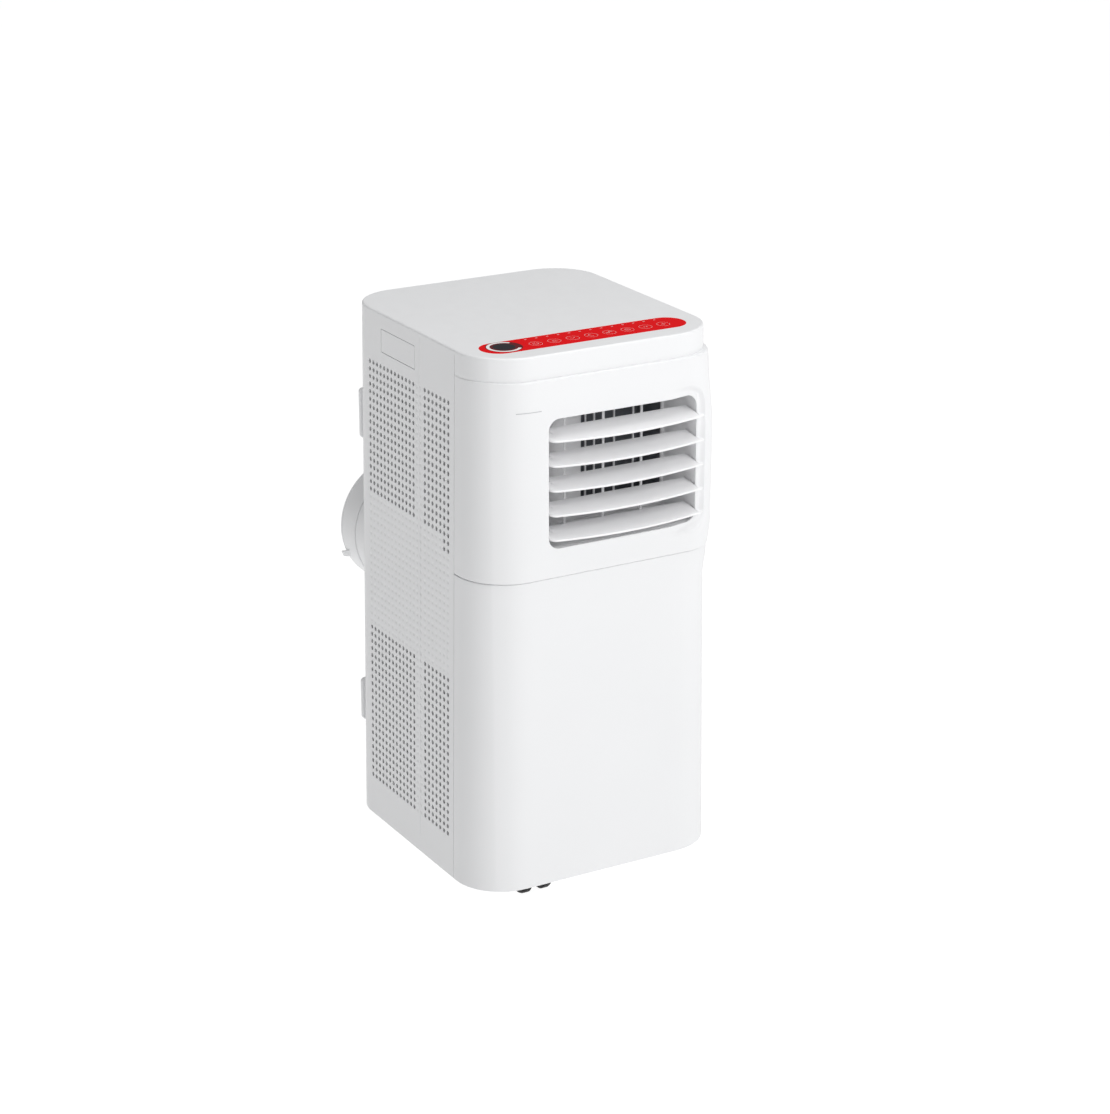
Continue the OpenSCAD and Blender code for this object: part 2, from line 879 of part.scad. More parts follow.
module upper_blower_wheel() {
    color(soft_black)
        translate([up_fan_x, up_volute_y + wheel_gap, up_fan_z]) blower_wheel(up_fan_r, blower_w, 24);
}

module lower_blower_wheel() {
    color(soft_black)
        translate([-exhaust_x, low_volute_y + wheel_gap, low_fan_z]) blower_wheel(low_fan_r, blower_w, 22);
}

// Fan motor with its axis along y: can, mounting flange and the bore of its bearings.
module fan_motor(x, y_flange, z) {
    color(metal)
        translate([x, y_flange, z])
            rotate([-90, 0, 0])
                difference() {
                    union() {
                        translate([0, 0, -motor_can_h - over]) cylinder(h = motor_can_h, r = motor_can_r);
                        translate([0, 0, -motor_flange_t]) cylinder(h = motor_flange_t, r = motor_flange_r);
                    }
                    translate([0, 0, -motor_bore]) cylinder(h = motor_bore + over, r = shaft_r + run);
                }
}

module upper_fan_motor() {
    fan_motor(up_fan_x, up_volute_y, up_fan_z);
}

module lower_fan_motor() {
    fan_motor(-exhaust_x, low_volute_y, low_fan_z);
}

// Lower spiral housing, with the exhaust tube on its rear wall.
module lower_volute() {
    x0 = -exhaust_x - low_volute_r;
    x1 = -exhaust_x + low_volute_r;
    top = low_volute_top;
    y1 = low_volute_y + low_volute_d;
    color(foam_grey)
        difference() {
            union() {
                along_y(low_volute_y, y1)
                    volute_outline(-exhaust_x, low_fan_z, low_volute_r, x0, x1, top, 0);
                translate([-exhaust_x, y1 - over, exhaust_z])
                    rotate([-90, 0, 0])
                        cylinder(h = back_y - wall - exhaust_tube_gap - y1 + over, r = exhaust_tube_r);
            }
            along_y(low_volute_y + duct_wall, y1 - duct_wall)
                volute_outline(-exhaust_x, low_fan_z, low_volute_r, x0, x1, top, duct_wall);
            translate([-exhaust_x, y1 - 10, exhaust_z])
                rotate([-90, 0, 0]) cylinder(h = 100, r = exhaust_tube_bore_r);
            translate([-exhaust_x, y1 - 10, low_fan_z])
                rotate([-90, 0, 0]) cylinder(h = 20, r = low_fan_r - 12);
            translate([-exhaust_x, low_volute_y - 10, low_fan_z])
                rotate([-90, 0, 0]) cylinder(h = 20, r = shaft_hole_r);
        }
}

// ---------- cooling circuit ----------

// Finned coil: end plates, fins in groups and the tubes through them.
module coil(w, h, fins) {
    edge = 2 * coil_plate;
    pitch = (w - 2 * edge) / fins;
    for (x = [-w / 2, w / 2 - coil_plate]) translate([x, 0, 0]) cube([coil_plate, coil_d, h]);
    for (i = [0:fins])
        translate([-w / 2 + edge + i * pitch - fin_t / 2, coil_plate, coil_plate])
            cube([fin_t, coil_d - edge, h - edge]);
    for (r = [0:floor(h / tube_pitch) - 1], y = [0.3, 0.7])
        translate([-w / 2 - tube_end, y * coil_d, (r + 0.5) * tube_pitch])
            rotate([0, 90, 0]) cylinder(h = w + 2 * tube_end, r = tube_r);
}

module evaporator_coil() {
    color(metal) translate([0, coil_y, evap_z]) coil(coil_w, evap_h, fin_groups);
}

module condenser_coil() {
    color(metal) translate([0, coil_y, cond_z]) coil(coil_w, cond_h, fin_groups);
}

module evaporator_tray() {
    w = coil_w + 2 * tray_rim;
    rim_y = tray_rim - over;
    color(inner_white) {
        difference() {
            translate([-w / 2, coil_y - rim_y, evap_z - tray_drop]) cube([w, coil_d + 2 * rim_y, tray_h]);
            translate([-w / 2 + tray_wall, coil_y - rim_y + tray_wall, evap_z - tray_drop + tray_wall])
                cube([w - 2 * tray_wall, coil_d + 2 * (rim_y - tray_wall), tray_h - over]);
        }
        // ribs on which the coil stands
        for (x = [-80, 0, 80])
            translate([x - tray_wall, coil_y + tray_wall, evap_z - tray_drop + over])
                cube([2 * tray_wall, coil_d - 2 * tray_wall, tray_drop - over]);
    }
}

module compressor() {
    color(soft_black) {
        translate([comp_x, comp_y, comp_z]) {
            cylinder(h = comp_h - comp_dome, r = comp_r);
            translate([0, 0, comp_h - comp_dome]) cylinder(h = 12, r1 = comp_r, r2 = comp_r - 14);
            translate([0, 0, comp_h - 9]) cylinder(h = 9, r = 12);
            cylinder(h = comp_foot_t, r = comp_r + comp_foot_t);
        }
        // suction accumulator on its bracket
        translate([acc_x, comp_y, acc_z]) {
            cylinder(h = acc_h, r = acc_r);
            translate([acc_r / 2, -6, 30]) cube([acc_r, 12, 30]);
        }
    }
}

module compressor_grommets() {
    color(soft_black)
        for (a = foot_turns)
            translate([comp_x + grommet_at * cos(a), comp_y + grommet_at * sin(a), comp_z - grommet_h])
                cylinder(h = grommet_h, r = grommet_r);
}

module refrigerant_pipes() {
    end_x = coil_w / 2 + tube_end;
    suction_x = end_x + 8;
    hot_x = end_x + 18;
    front_tube_y = coil_y + 0.3 * coil_d;
    rear_tube_y = coil_y + 0.7 * coil_d;
    hot_z = comp_z + comp_h + 8;
    cond_in_z = cond_z + (floor(cond_h / tube_pitch) - 0.5) * tube_pitch;
    cond_out_z = cond_z + tube_pitch / 2;
    evap_tube_z = evap_z + tube_pitch / 2;
    suction_z = 250;
    color(copper) {
        // discharge line: compressor top to the condenser
        pipe([[comp_x, comp_y, hot_z - 8], [comp_x, comp_y, hot_z], [hot_x, comp_y, hot_z],
              [hot_x, front_tube_y, hot_z], [hot_x, front_tube_y, cond_in_z],
              [end_x, front_tube_y, cond_in_z]], hot_r);
        // suction line: evaporator down to the accumulator
        pipe([[end_x, front_tube_y, evap_tube_z], [suction_x, front_tube_y, evap_tube_z],
              [suction_x, mid_y, evap_tube_z], [suction_x, mid_y, suction_z], [acc_x, mid_y, suction_z],
              [acc_x, comp_y, suction_z], [acc_x, comp_y, acc_z + acc_h]], suction_r);
        // liquid line with its filter drier: condenser to evaporator, up the left side
        pipe([[-end_x, rear_tube_y, cond_out_z], [-liquid_x, rear_tube_y, cond_out_z],
              [-liquid_x, rear_tube_y, evap_tube_z], [-end_x, rear_tube_y, evap_tube_z]], liquid_r);
        translate([-liquid_x, rear_tube_y, drier_z]) cylinder(h = drier_h, r = drier_r);
    }
}

// Paddle wheel that splashes the condensate over the condenser, with its shaft.
module slinger_wheel() {
    color(soft_black)
        translate([slinger_x, coil_y - slinger_in, slinger_z])
            rotate([-90, 0, 0]) {
                cylinder(h = slinger_t, r = slinger_r);
                for (i = [0:slinger_paddles - 1])
                    rotate([0, 0, i * 360 / slinger_paddles])
                        translate([10, -4, 0]) cube([13, 8, slinger_t]);
                translate([0, 0, -20]) cylinder(h = 28, r = slinger_shaft_r);
            }
}

module slinger_motor() {
    floor_drop = slinger_z - ground_gap - pan_floor;
    color(metal)
        translate([slinger_x, coil_y - slinger_in, slinger_z])
            rotate([-90, 0, 0])
                difference() {
                    union() {
                        translate([0, 0, -32]) cylinder(h = 30, r = slinger_can_r);
                        translate([-6, 0, -30]) cube([12, floor_drop, 4]);
                    }
                    translate([0, 0, -22]) cylinder(h = 30, r = slinger_shaft_r + run);
                }
}

// ---------- electrical parts ----------

module control_box() {
    color(metal)
        difference() {
            translate([box_x, box_y, box_z]) cube(box_size);
            translate([box_x, box_y, box_z] + box_wall * [1, 1, 1])
                cube([box_size[0], box_size[1] - 2 * box_wall, box_size[2] - 2 * box_wall]);
        }
}

module main_board() {
    color(board_green) {
        translate([box_x + 6, box_y + 4, box_z + 4]) cube([1.6, 76, 84]);
        translate([box_x + 7.6, box_y + 14, box_z + 14]) cube([16, 24, 20]);
        translate([box_x + 7.6, box_y + 46, box_z + 20]) cube([14, 22, 16]);
        translate([box_x + 7.6, box_y + 16, box_z + 60]) cube([10, 50, 8]);
    }
}

module run_capacitor() {
    color(metal)
        translate([box_x + 24, box_y + 10, box_z + 106])
            rotate([-90, 0, 0]) cylinder(h = capacitor_len, r = capacitor_r);
}

// ---------- back: intake grilles, hose adapter, drains, cord ----------

module slotted_cover(h) {
    rows = floor((h - 2 * grille_margin) / grille_slot_pitch);
    translate([0, back_y - grille_t, 0])
        rotate([90, 0, 0]) mirror([0, 0, 1])
            linear_extrude(grille_t)
                difference() {
                    translate([-grille_w / 2, 0]) square([grille_w, h]);
                    for (i = [0:rows - 1], x = [-1, 1])
                        translate([x * grille_slot_x - grille_slot[0] / 2,
                                   grille_margin + i * grille_slot_pitch])
                            square(grille_slot);
                }
    // side clips that grip the rear shell
    for (x = [-1, 1])
        translate([x * (grille_w / 2 - clip_size[0]) - clip_size[0] / 2, back_y - clip_size[1] - 2,
                   (h - clip_size[2]) / 2])
            cube(clip_size);
}

module filter_frame(h) {
    w = grille_w - 2 * filter_in;
    cell_w = (w - 2 * filter_rib) / 4;
    cell_h = (h - 2 * filter_rib) / 2;
    recess = (filter_t - filter_skin) / 2;
    translate([-w / 2, back_y - 2 * filter_t - 0.5, 0])
        difference() {
            cube([w, filter_t, h]);
            // the net is a thin skin halfway through the frame
            for (i = [0:3], j = [0:1], y = [-over, filter_t - recess])
                translate([1.5 * filter_rib + i * cell_w, y, 1.5 * filter_rib + j * cell_h])
                    cube([cell_w - filter_rib, recess + over, cell_h - filter_rib]);
        }
}

module upper_intake_grille() {
    color(shell_white) translate([0, 0, upper_grille_z]) slotted_cover(upper_grille_h);
}

module lower_intake_grille() {
    color(shell_white) translate([0, 0, lower_grille_z]) slotted_cover(lower_grille_h);
}

module upper_filter() {
    color(foam_grey)
        translate([0, 0, upper_grille_z + filter_margin]) filter_frame(upper_grille_h - 2 * filter_margin);
}

module lower_filter() {
    color(foam_grey)
        translate([0, 0, lower_grille_z + filter_margin]) filter_frame(lower_grille_h - 2 * filter_margin);
}

// Twist-on ring for the exhaust hose, with a snap lug at its lower left.
module hose_adapter() {
    shoulder_z = ring_out + 0.6;
    color(shell_white)
        translate([-exhaust_x, back_y + clear, exhaust_z])
            rotate([-90, 0, 0]) {
                difference() {
                    cylinder(h = adapter_out - clear, r = adapter_r, $fn = 128);
                    // hose socket, then the narrower sleeve over the neck: the step seats the hose
                    translate([0, 0, shoulder_z])
                        cylinder(h = adapter_out, r = adapter_r - adapter_wall, $fn = 128);
                    translate([0, 0, -over])
                        cylinder(h = shoulder_z + 2 * over, r = ring_r + clear / 2, $fn = 128);
                }
                // lug, over a small angle below the horizontal
                rotate([0, 0, lug_turn])
                    translate([adapter_r - 2, -lug_size[1] / 2, adapter_out - lug_size[2] - 2])
                        cube(lug_size);
            }
}

module drain_plug(z) {
    color(soft_black)
        translate([drain_x, back_y, z])
            rotate([-90, 0, 0]) {
                translate([0, 0, -plug_in]) cylinder(h = plug_in + clear, r = drain_r - 0.35);
                translate([0, 0, clear]) cylinder(h = plug_flange_t, r = plug_flange_r);
                translate([-plug_grip[0] / 2, -plug_grip[1] / 2, plug_flange_t + clear]) cube(plug_grip);
            }
}

// Two hooks for winding the cord: the upper one opens upwards, the lower one downwards.
module cord_hooks() {
    color(shell_white)
        difference() {
            for (h = hooks) {
                // neck on the back, then the plate that keeps the cord on
                translate([-hook_inner_x - hook_neck[0], back_y - hook_root, h[0]])
                    cube(hook_neck + [0, hook_root, 0]);
                translate([-h[3], back_y + hook_neck[1], h[1]])
                    cube([h[3] - hook_inner_x, hook_plate_t, h[2] - h[1]]);
            }
            casing(0, ground_gap, total_h - lid_t);
        }
}

module cord_gland() {
    color(soft_black)
        translate([gland_x, back_y, gland_z])
            rotate([-90, 0, 0])
                difference() {
                    union() {
                        translate([0, 0, -6]) cylinder(h = 8, r = gland_r - clear);
                        cylinder(h = 3, r = gland_r + 4);
                    }
                    translate([0, 0, -10]) cylinder(h = 20, r = cord_r);
                }
}

module screw(x, z) {
    translate([x, back_y, z])
        rotate([-90, 0, 0])
            difference() {
                cylinder(h = screw_head_h, r = screw_head_r);
                for (turn = [0, 90])
                    rotate([0, 0, turn])
                        translate([-screw_slot[0] / 2, -screw_slot[1] / 2, 1]) cube(screw_slot);
            }
}

module rear_screws() {
    color(metal)
        for (x = [-screw_x, screw_x], z = screw_heights) screw(x, z);
}

// ---------- casters ----------

// Sign of a caster's place across and along the body.
function caster_sx(i) = i % 2 == 0 ? -1 : 1;
function caster_sy(i) = i < 2 ? -1 : 1;

module at_caster(i) {
    translate([caster_sx(i) * caster_x, mid_y + caster_sy(i) * caster_y, 0])
        rotate([0, 0, caster_turns[i]])
            children();
}

// Swivel stem and the hood between the wheels.
module caster_fork(i) {
    color(soft_black)
        at_caster(i)
            difference() {
                union() {
                    translate([0, 0, pocket_top - 3]) cylinder(h = boss_top - pocket_top + 2, r = stem_r);
                    translate([0, 0, hood_top]) cylinder(h = pocket_top - clear - hood_top, r = collar_r);
                    translate([-hub_w / 2, -trail - hood_end, wheel_r - hood_end])
                        cube([hub_w, trail + 2 * hood_end, hood_top + hood_end - wheel_r]);
                }
                translate([-hub_w, -trail, wheel_r])
                    rotate([0, 90, 0]) cylinder(h = 2 * hub_w, r = axle_r + run);
            }
}

module caster_wheels(i) {
    color(soft_black)
        at_caster(i)
            translate([0, -trail, wheel_r])
                rotate([0, 90, 0]) {
                    for (s = [0, 1])
                        mirror([0, 0, s])
                            translate([0, 0, hub_w / 2 + wheel_gap_x]) cylinder(h = wheel_w, r = wheel_r);
                    cylinder(h = 2 * wheel_w + hub_w, r = axle_r, center = true);
                }
}

top_cover();
control_panel();
display_board();
front_upper_shell();
front_lower_panel();
side_panel(-1);  // side_panel_left
side_panel(1);  // side_panel_right
rear_shell();
base_pan();
partition();
handle_flap(-1);  // handle_flap_left
handle_flap(1);  // handle_flap_right
louver_blade(0);  // louver_blade_1
louver_blade(1);  // louver_blade_2
louver_blade(2);  // louver_blade_3
louver_blade(3);  // louver_blade_4
louver_blade(4);  // louver_blade_5
louver_link();
swing_motor();
vane(0);  // vane_1
vane(1);  // vane_2
vane(2);  // vane_3
vane_link();
outlet_duct();
upper_volute();
upper_blower_wheel();
upper_fan_motor();
evaporator_coil();
evaporator_tray();
lower_volute();
lower_blower_wheel();
lower_fan_motor();
condenser_coil();
compressor();
compressor_grommets();
refrigerant_pipes();
slinger_wheel();
slinger_motor();
control_box();
main_board();
run_capacitor();
upper_intake_grille();
upper_filter();
lower_intake_grille();
lower_filter();
hose_adapter();
drain_plug(upper_drain_z);  // upper_drain_plug
drain_plug(lower_drain_z);  // lower_drain_plug
cord_hooks();
cord_gland();
rear_screws();
caster_fork(0);  // caster_fork_1
caster_fork(1);  // caster_fork_2
caster_fork(2);  // caster_fork_3
caster_fork(3);  // caster_fork_4
caster_wheels(0);  // caster_wheels_1
caster_wheels(1);  // caster_wheels_2
caster_wheels(2);  // caster_wheels_3
caster_wheels(3);  // caster_wheels_4
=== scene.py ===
"""Looks of a portable air conditioner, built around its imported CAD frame.

+Z is up, the front faces -Y and +X is to the right seen from the front. All lengths are in metres.
"""
import json
import math

import bmesh
import bpy
from mathutils import Matrix, Vector

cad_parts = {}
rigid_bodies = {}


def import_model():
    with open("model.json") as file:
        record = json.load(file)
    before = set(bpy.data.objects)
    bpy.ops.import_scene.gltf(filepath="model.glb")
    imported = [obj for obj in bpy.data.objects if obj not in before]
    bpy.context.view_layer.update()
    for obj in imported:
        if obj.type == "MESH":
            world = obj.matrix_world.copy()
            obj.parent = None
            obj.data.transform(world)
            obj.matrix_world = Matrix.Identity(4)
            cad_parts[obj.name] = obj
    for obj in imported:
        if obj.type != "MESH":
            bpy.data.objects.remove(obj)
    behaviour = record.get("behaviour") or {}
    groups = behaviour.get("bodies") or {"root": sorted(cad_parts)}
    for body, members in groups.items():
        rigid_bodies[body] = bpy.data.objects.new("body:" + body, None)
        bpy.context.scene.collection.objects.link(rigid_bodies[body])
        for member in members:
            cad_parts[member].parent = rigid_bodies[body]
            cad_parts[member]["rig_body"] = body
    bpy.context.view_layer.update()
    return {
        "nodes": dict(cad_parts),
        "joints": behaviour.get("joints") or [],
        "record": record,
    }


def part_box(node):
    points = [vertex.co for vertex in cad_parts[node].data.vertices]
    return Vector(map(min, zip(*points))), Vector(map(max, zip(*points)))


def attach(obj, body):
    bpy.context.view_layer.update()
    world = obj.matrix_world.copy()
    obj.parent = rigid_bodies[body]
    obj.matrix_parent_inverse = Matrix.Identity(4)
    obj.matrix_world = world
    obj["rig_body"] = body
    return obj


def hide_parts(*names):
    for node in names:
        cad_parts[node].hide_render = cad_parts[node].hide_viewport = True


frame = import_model()

MM = 0.001
JOINTS = {joint["name"]: joint for joint in frame["joints"]}


def low(node):
    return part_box(node)[0]


def high(node):
    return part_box(node)[1]


# ---------- places, all taken from the frame ----------

TOP_Z = high("top_cover").z
FASCIA_Z = low("top_cover").z
GROUND_Z = low("front_lower_panel").z
MID_SEAM_Z = high("front_lower_panel").z
SHELL_LOW_Z = low("front_upper_shell").z
SHELL_HIGH_Z = high("front_upper_shell").z
FRONT_Y = low("front_lower_panel").y
BACK_Y = high("upper_intake_grille").y
MID_Y = (FRONT_Y + BACK_Y) / 2
PROUD = FRONT_Y - low("front_upper_shell").y
FRONT_SEAM_Y = high("front_lower_panel").y
SIDE_FRONT_Y = low("side_panel_left").y
SIDE_REAR_Y = high("side_panel_left").y
REAR_SEAM_Y = low("rear_shell").y

# Both sides lean outwards towards the bottom.
LEAN = (high("side_panel_right").x - high("top_cover").x) / (FASCIA_Z - GROUND_Z)
HALF_TOP = high("top_cover").x - LEAN * (TOP_Z - FASCIA_Z)
DRAFT = math.atan(LEAN)

# Air outlet: the duct's box less its wall, and less its flange on the right.
DUCT_WALL = 2.6 * MM
DUCT_FLANGE = 10 * MM
OUTLET_LEFT = low("outlet_duct").x + DUCT_WALL
OUTLET_RIGHT = high("outlet_duct").x - DUCT_FLANGE
OUTLET_LOW = low("outlet_duct").z + DUCT_WALL
OUTLET_HIGH = high("outlet_duct").z - DUCT_WALL

# ---------- sizes of the mouldings ----------

WALL = 2.6 * MM
LID_T = 6 * MM
FRONT_R = 62 * MM
REAR_R = 60 * MM
# Rounding of the lid's edge, of the front shell's lip and at the seams, where mouldings turn in by RIM.
EDGE_R = 2.6 * MM
LIP_R = 2.0 * MM
SEAM_R = 1.2 * MM
RIM = 9 * MM
OUTLET_R = 14 * MM
ARC_STEPS = 14
SMOOTH_ANGLE = math.radians(32)

# How much smaller than FRONT_R the right front corner is, by height: it is filled out beside the outlet.
CORNER_FILL = [(370, 0), (407, 10), (445, 20), (566, 24.5), (640, 13), (655, 10)]


def half_width(z):
    return HALF_TOP + LEAN * (TOP_Z - z)


def smoothstep(a, b, value):
    t = min(1.0, max(0.0, (value - a) / (b - a)))
    return t * t * (3 - 2 * t)


def corner_fill(z):
    """Radius taken off the right front corner at a height."""
    height = z / MM
    if height <= CORNER_FILL[0][0] or height > CORNER_FILL[-1][0]:
        return 0.0
    for (z0, f0), (z1, f1) in zip(CORNER_FILL, CORNER_FILL[1:]):
        if height <= z1:
            return (f0 + (f1 - f0) * smoothstep(z0, z1, height)) * MM
    return 0.0


# ---------- materials ----------

def node_material(name):
    material = bpy.data.materials.new(name)
    material.use_nodes = True
    tree = material.node_tree
    return material, tree.nodes, tree.links, tree.nodes["Principled BSDF"]


def put(node, values):
    for name, value in values.items():
        node.inputs[name].default_value = value


def noise(nodes, links, coords, scale, detail=2.0):
    texture = nodes.new("ShaderNodeTexNoise")
    put(texture, {"Scale": scale, "Detail": detail})
    links.new(coords, texture.inputs["Vector"])
    return texture.outputs["Fac"]


def remap(nodes, links, value, low_out, high_out):
    node = nodes.new("ShaderNodeMapRange")
    put(node, {"From Min": 0.3, "From Max": 0.7, "To Min": low_out, "To Max": high_out})
    links.new(value, node.inputs["Value"])
    return node.outputs["Result"]


def base_colour(nodes, links, shader, value, colour, share):
    """Base colour that a texture shifts between a colour and a darker share of it."""
    mix = nodes.new("ShaderNodeMix")
    mix.data_type = "RGBA"
    mix.inputs[6].default_value = (*[c * share for c in colour], 1)
    mix.inputs[7].default_value = (*colour, 1)
    links.new(remap(nodes, links, value, 0.0, 1.0), mix.inputs[0])
    links.new(mix.outputs[2], shader.inputs["Base Color"])


def moulded(name, colour, rough, spread=0.03, grain=0.35 * MM, depth=0.006 * MM, specular=0.5):
    """A moulded, painted or rolled surface: fine grain, slow drift of shade, uneven gloss."""
    material, nodes, links, shader = node_material(name)
    coords = nodes.new("ShaderNodeTexCoord").outputs["Object"]
    drift = noise(nodes, links, coords, 9.0, 3.0)
    patches = noise(nodes, links, coords, 60.0, 4.0)
    fine = noise(nodes, links, coords, 1.0 / grain, 2.0)
    base_colour(nodes, links, shader, drift, colour, 1 - spread)
    links.new(remap(nodes, links, patches, rough - 0.04, rough + 0.04), shader.inputs["Roughness"])
    bump = nodes.new("ShaderNodeBump")
    put(bump, {"Strength": 0.35, "Distance": depth})
    links.new(fine, bump.inputs["Height"])
    links.new(bump.outputs["Normal"], shader.inputs["Normal"])
    shader.inputs["Specular IOR Level"].default_value = specular
    return material


def net(name, colour, pitch):
    """Fine woven filter mesh: crossed threads over a darker ground."""
    material, nodes, links, shader = node_material(name)
    coords = nodes.new("ShaderNodeTexCoord").outputs["Object"]
    heights = []
    for direction in ("X", "Z"):
        wave = nodes.new("ShaderNodeTexWave")
        wave.bands_direction = direction
        wave.inputs["Scale"].default_value = 1.0 / (math.pi * pitch)
        links.new(coords, wave.inputs["Vector"])
        heights.append(wave.outputs["Fac"])
    thread = nodes.new("ShaderNodeMath")
    thread.operation = "MAXIMUM"
    links.new(heights[0], thread.inputs[0])
    links.new(heights[1], thread.inputs[1])
    base_colour(nodes, links, shader, thread.outputs[0], colour, 0.25)
    shader.inputs["Roughness"].default_value = 0.7
    bump = nodes.new("ShaderNodeBump")
    bump.inputs["Distance"].default_value = 0.3 * MM
    links.new(thread.outputs[0], bump.inputs["Height"])
    links.new(bump.outputs["Normal"], shader.inputs["Normal"])
    return material


def brushed(name, colour, rough):
    """Metal with fine lines along one direction."""
    material, nodes, links, shader = node_material(name)
    coords = nodes.new("ShaderNodeTexCoord").outputs["Object"]
    stretch = nodes.new("ShaderNodeMapping")
    stretch.inputs["Scale"].default_value = (40, 40, 1600)
    links.new(coords, stretch.inputs["Vector"])
    lines = noise(nodes, links, stretch.outputs["Vector"], 1.0, 3.0)
    links.new(remap(nodes, links, lines, rough - 0.08, rough + 0.08), shader.inputs["Roughness"])
    base_colour(nodes, links, shader, lines, colour, 0.88)
    shader.inputs["Metallic"].default_value = 1.0
    return material


MATERIALS = {
    "shell_white": moulded("shell_white", (0.86, 0.865, 0.875), 0.42, spread=0.012),
    # inner_white is lighter than shell_white: the extra lightness is painted light on the blade tops, which
    # the lamps barely reach inside the outlet.
    "inner_white": moulded("inner_white", (0.93, 0.93, 0.94), 0.46, spread=0.02),
    "panel_red": moulded("panel_red", (0.76, 0.0, 0.003), 0.2, spread=0.03, depth=0.001 * MM, specular=0.02),
    "board": moulded("board", (0.03, 0.16, 0.07), 0.4, spread=0.25),
    "foam_grey": moulded("foam_grey", (0.17, 0.18, 0.2), 0.9, spread=0.3, grain=1.2 * MM, depth=0.2 * MM),
    "filter_grey": net("filter_grey", (0.2, 0.21, 0.23), 1.4 * MM),
    "black_plastic": moulded("black_plastic", (0.006, 0.006, 0.007), 0.42, spread=0.3, specular=0.12),
    "rubber": moulded("rubber", (0.02, 0.02, 0.02), 0.75, spread=0.3, depth=0.02 * MM),
    "motor_steel": brushed("motor_steel", (0.62, 0.63, 0.65), 0.38),
    "capacitor_can": brushed("capacitor_can", (0.7, 0.71, 0.73), 0.3),
    "coil_fins": brushed("coil_fins", (0.72, 0.73, 0.74), 0.35),
    "copper_tube": brushed("copper_tube", (0.78, 0.38, 0.22), 0.3),
    "compressor_black": moulded("compressor_black", (0.015, 0.015, 0.017), 0.3, spread=0.3),
}
INK = moulded("printed_ink", (0.85, 0.62, 0.62), 0.3, spread=0.05, depth=0.001 * MM)
INK_WHITE = moulded("ring_ink", (1.0, 0.97, 0.96), 0.25, spread=0.02, depth=0.001 * MM)
MAROON = moulded("display_ground", (0.13, 0.004, 0.008), 0.2, spread=0.1, depth=0.001 * MM, specular=0.06)
DISPLAY = moulded("display_window", (0.016, 0.012, 0.018), 0.2, spread=0.2, depth=0.001 * MM, specular=0.1)
# Grey of the short line on the upper shell: painted shade that stands for the hollow of a groove.
GROOVE_SHADE_PAINT = moulded("groove_shade", (0.55, 0.55, 0.57), 0.5, spread=0.03)
for entry in frame["record"]["subparts"]:
    cad_node = frame["nodes"][entry["node"]]
    cad_node.data.materials.clear()
    cad_node.data.materials.append(MATERIALS[entry["material_slot"]])


# ---------- mesh building ----------

class Surface:
    """Faces that share the vertices at equal places."""

    def __init__(self):
        self.bm = bmesh.new()
        self.places = {}

    def vert(self, point):
        key = tuple(round(c * 1e7) for c in point)
        if key not in self.places:
            self.places[key] = self.bm.verts.new(point)
        return self.places[key]

    def face(self, points):
        verts = []
        for point in points:
            vert = self.vert(point)
            if vert not in verts:
                verts.append(vert)
        if len(verts) > 2 and self.bm.faces.get(verts) is None:
            self.bm.faces.new(verts)

    def grid(self, rows, closed=False, skip=None):
        for i, (row, following) in enumerate(zip(rows, rows[1:])):
            count = len(row) if closed else len(row) - 1
            for j in range(count):
                if skip and skip(i, j):
                    continue
                k = (j + 1) % len(row)
                self.face([row[j], row[k], following[k], following[j]])

    def edges(self, loop):
        found = []
        for a, b in zip(loop, loop[1:] + loop[:1]):
            va, vb = self.vert(a), self.vert(b)
            if va is vb:
                continue
            found.append(self.bm.edges.get((va, vb)) or self.bm.edges.new((va, vb)))
        return found

    def fill(self, loops):
        """Fills the flat region between an outer loop and the loops inside it."""
        edges = [edge for loop in loops for edge in self.edges(loop)]
        bmesh.ops.triangle_fill(self.bm, edges=edges, use_beauty=True)

    def cap(self, loop):
        self.face(loop)

    def solid(self, rows):
        """Closed sections joined into a body with both ends capped."""
        self.grid(rows, closed=True)
        self.cap(rows[0][::-1])
        self.cap(rows[-1])

    def box(self, a, b):
        (x0, y0, z0), (x1, y1, z1) = a, b
        lower = [(x0, y0, z0), (x1, y0, z0), (x1, y1, z0), (x0, y1, z0)]
        upper = [(x, y, z1) for x, y, _ in lower]
        self.solid([lower, upper])

    def lathe(self, profile, place, steps=48):
        """Turns (radius, height) points about the local Z of place."""
        rings = []
        for radius, height in profile:
            ring = []
            for k in range(steps):
                a = 2 * math.pi * k / steps
                ring.append(place @ Vector((radius * math.cos(a), radius * math.sin(a), height)))
            rings.append(ring)
        self.grid(rings, closed=True)
        return rings

    def rod(self, a, b, radius, steps=20):
        a, b = Vector(a), Vector(b)
        turn = (b - a).to_track_quat("Z", "Y").to_matrix().to_4x4()
        rings = self.lathe([(radius, 0), (radius, (b - a).length)], Matrix.Translation(a) @ turn, steps)
        self.cap(rings[0][::-1])
        self.cap(rings[1])


def face_outwards(bm, centre):
    """Makes an open sheet's normals point away from a centre line."""
    bmesh.ops.recalc_face_normals(bm, faces=bm.faces[:])
    balance = 0.0
    for face in bm.faces:
        away = face.calc_center_median() - centre
        balance += face.calc_area() * face.normal.dot(away)
    if balance < 0:
        bmesh.ops.reverse_faces(bm, faces=bm.faces[:])


def add_object(name, data):
    obj = bpy.data.objects.new(name, data)
    bpy.context.scene.collection.objects.link(obj)
    return obj


def cutter(place, radius, depth):
    """Round bar across the back wall, with which a hole is cut."""
    bar = Surface()
    x, z = place
    bar.rod((x, BACK_Y - depth, z), (x, BACK_Y + 10 * MM, z), radius)
    bmesh.ops.recalc_face_normals(bar.bm, faces=bar.bm.faces[:])
    mesh = bpy.data.meshes.new("cutter")
    bar.bm.to_mesh(mesh)
    bar.bm.free()
    return add_object("cutter", mesh)


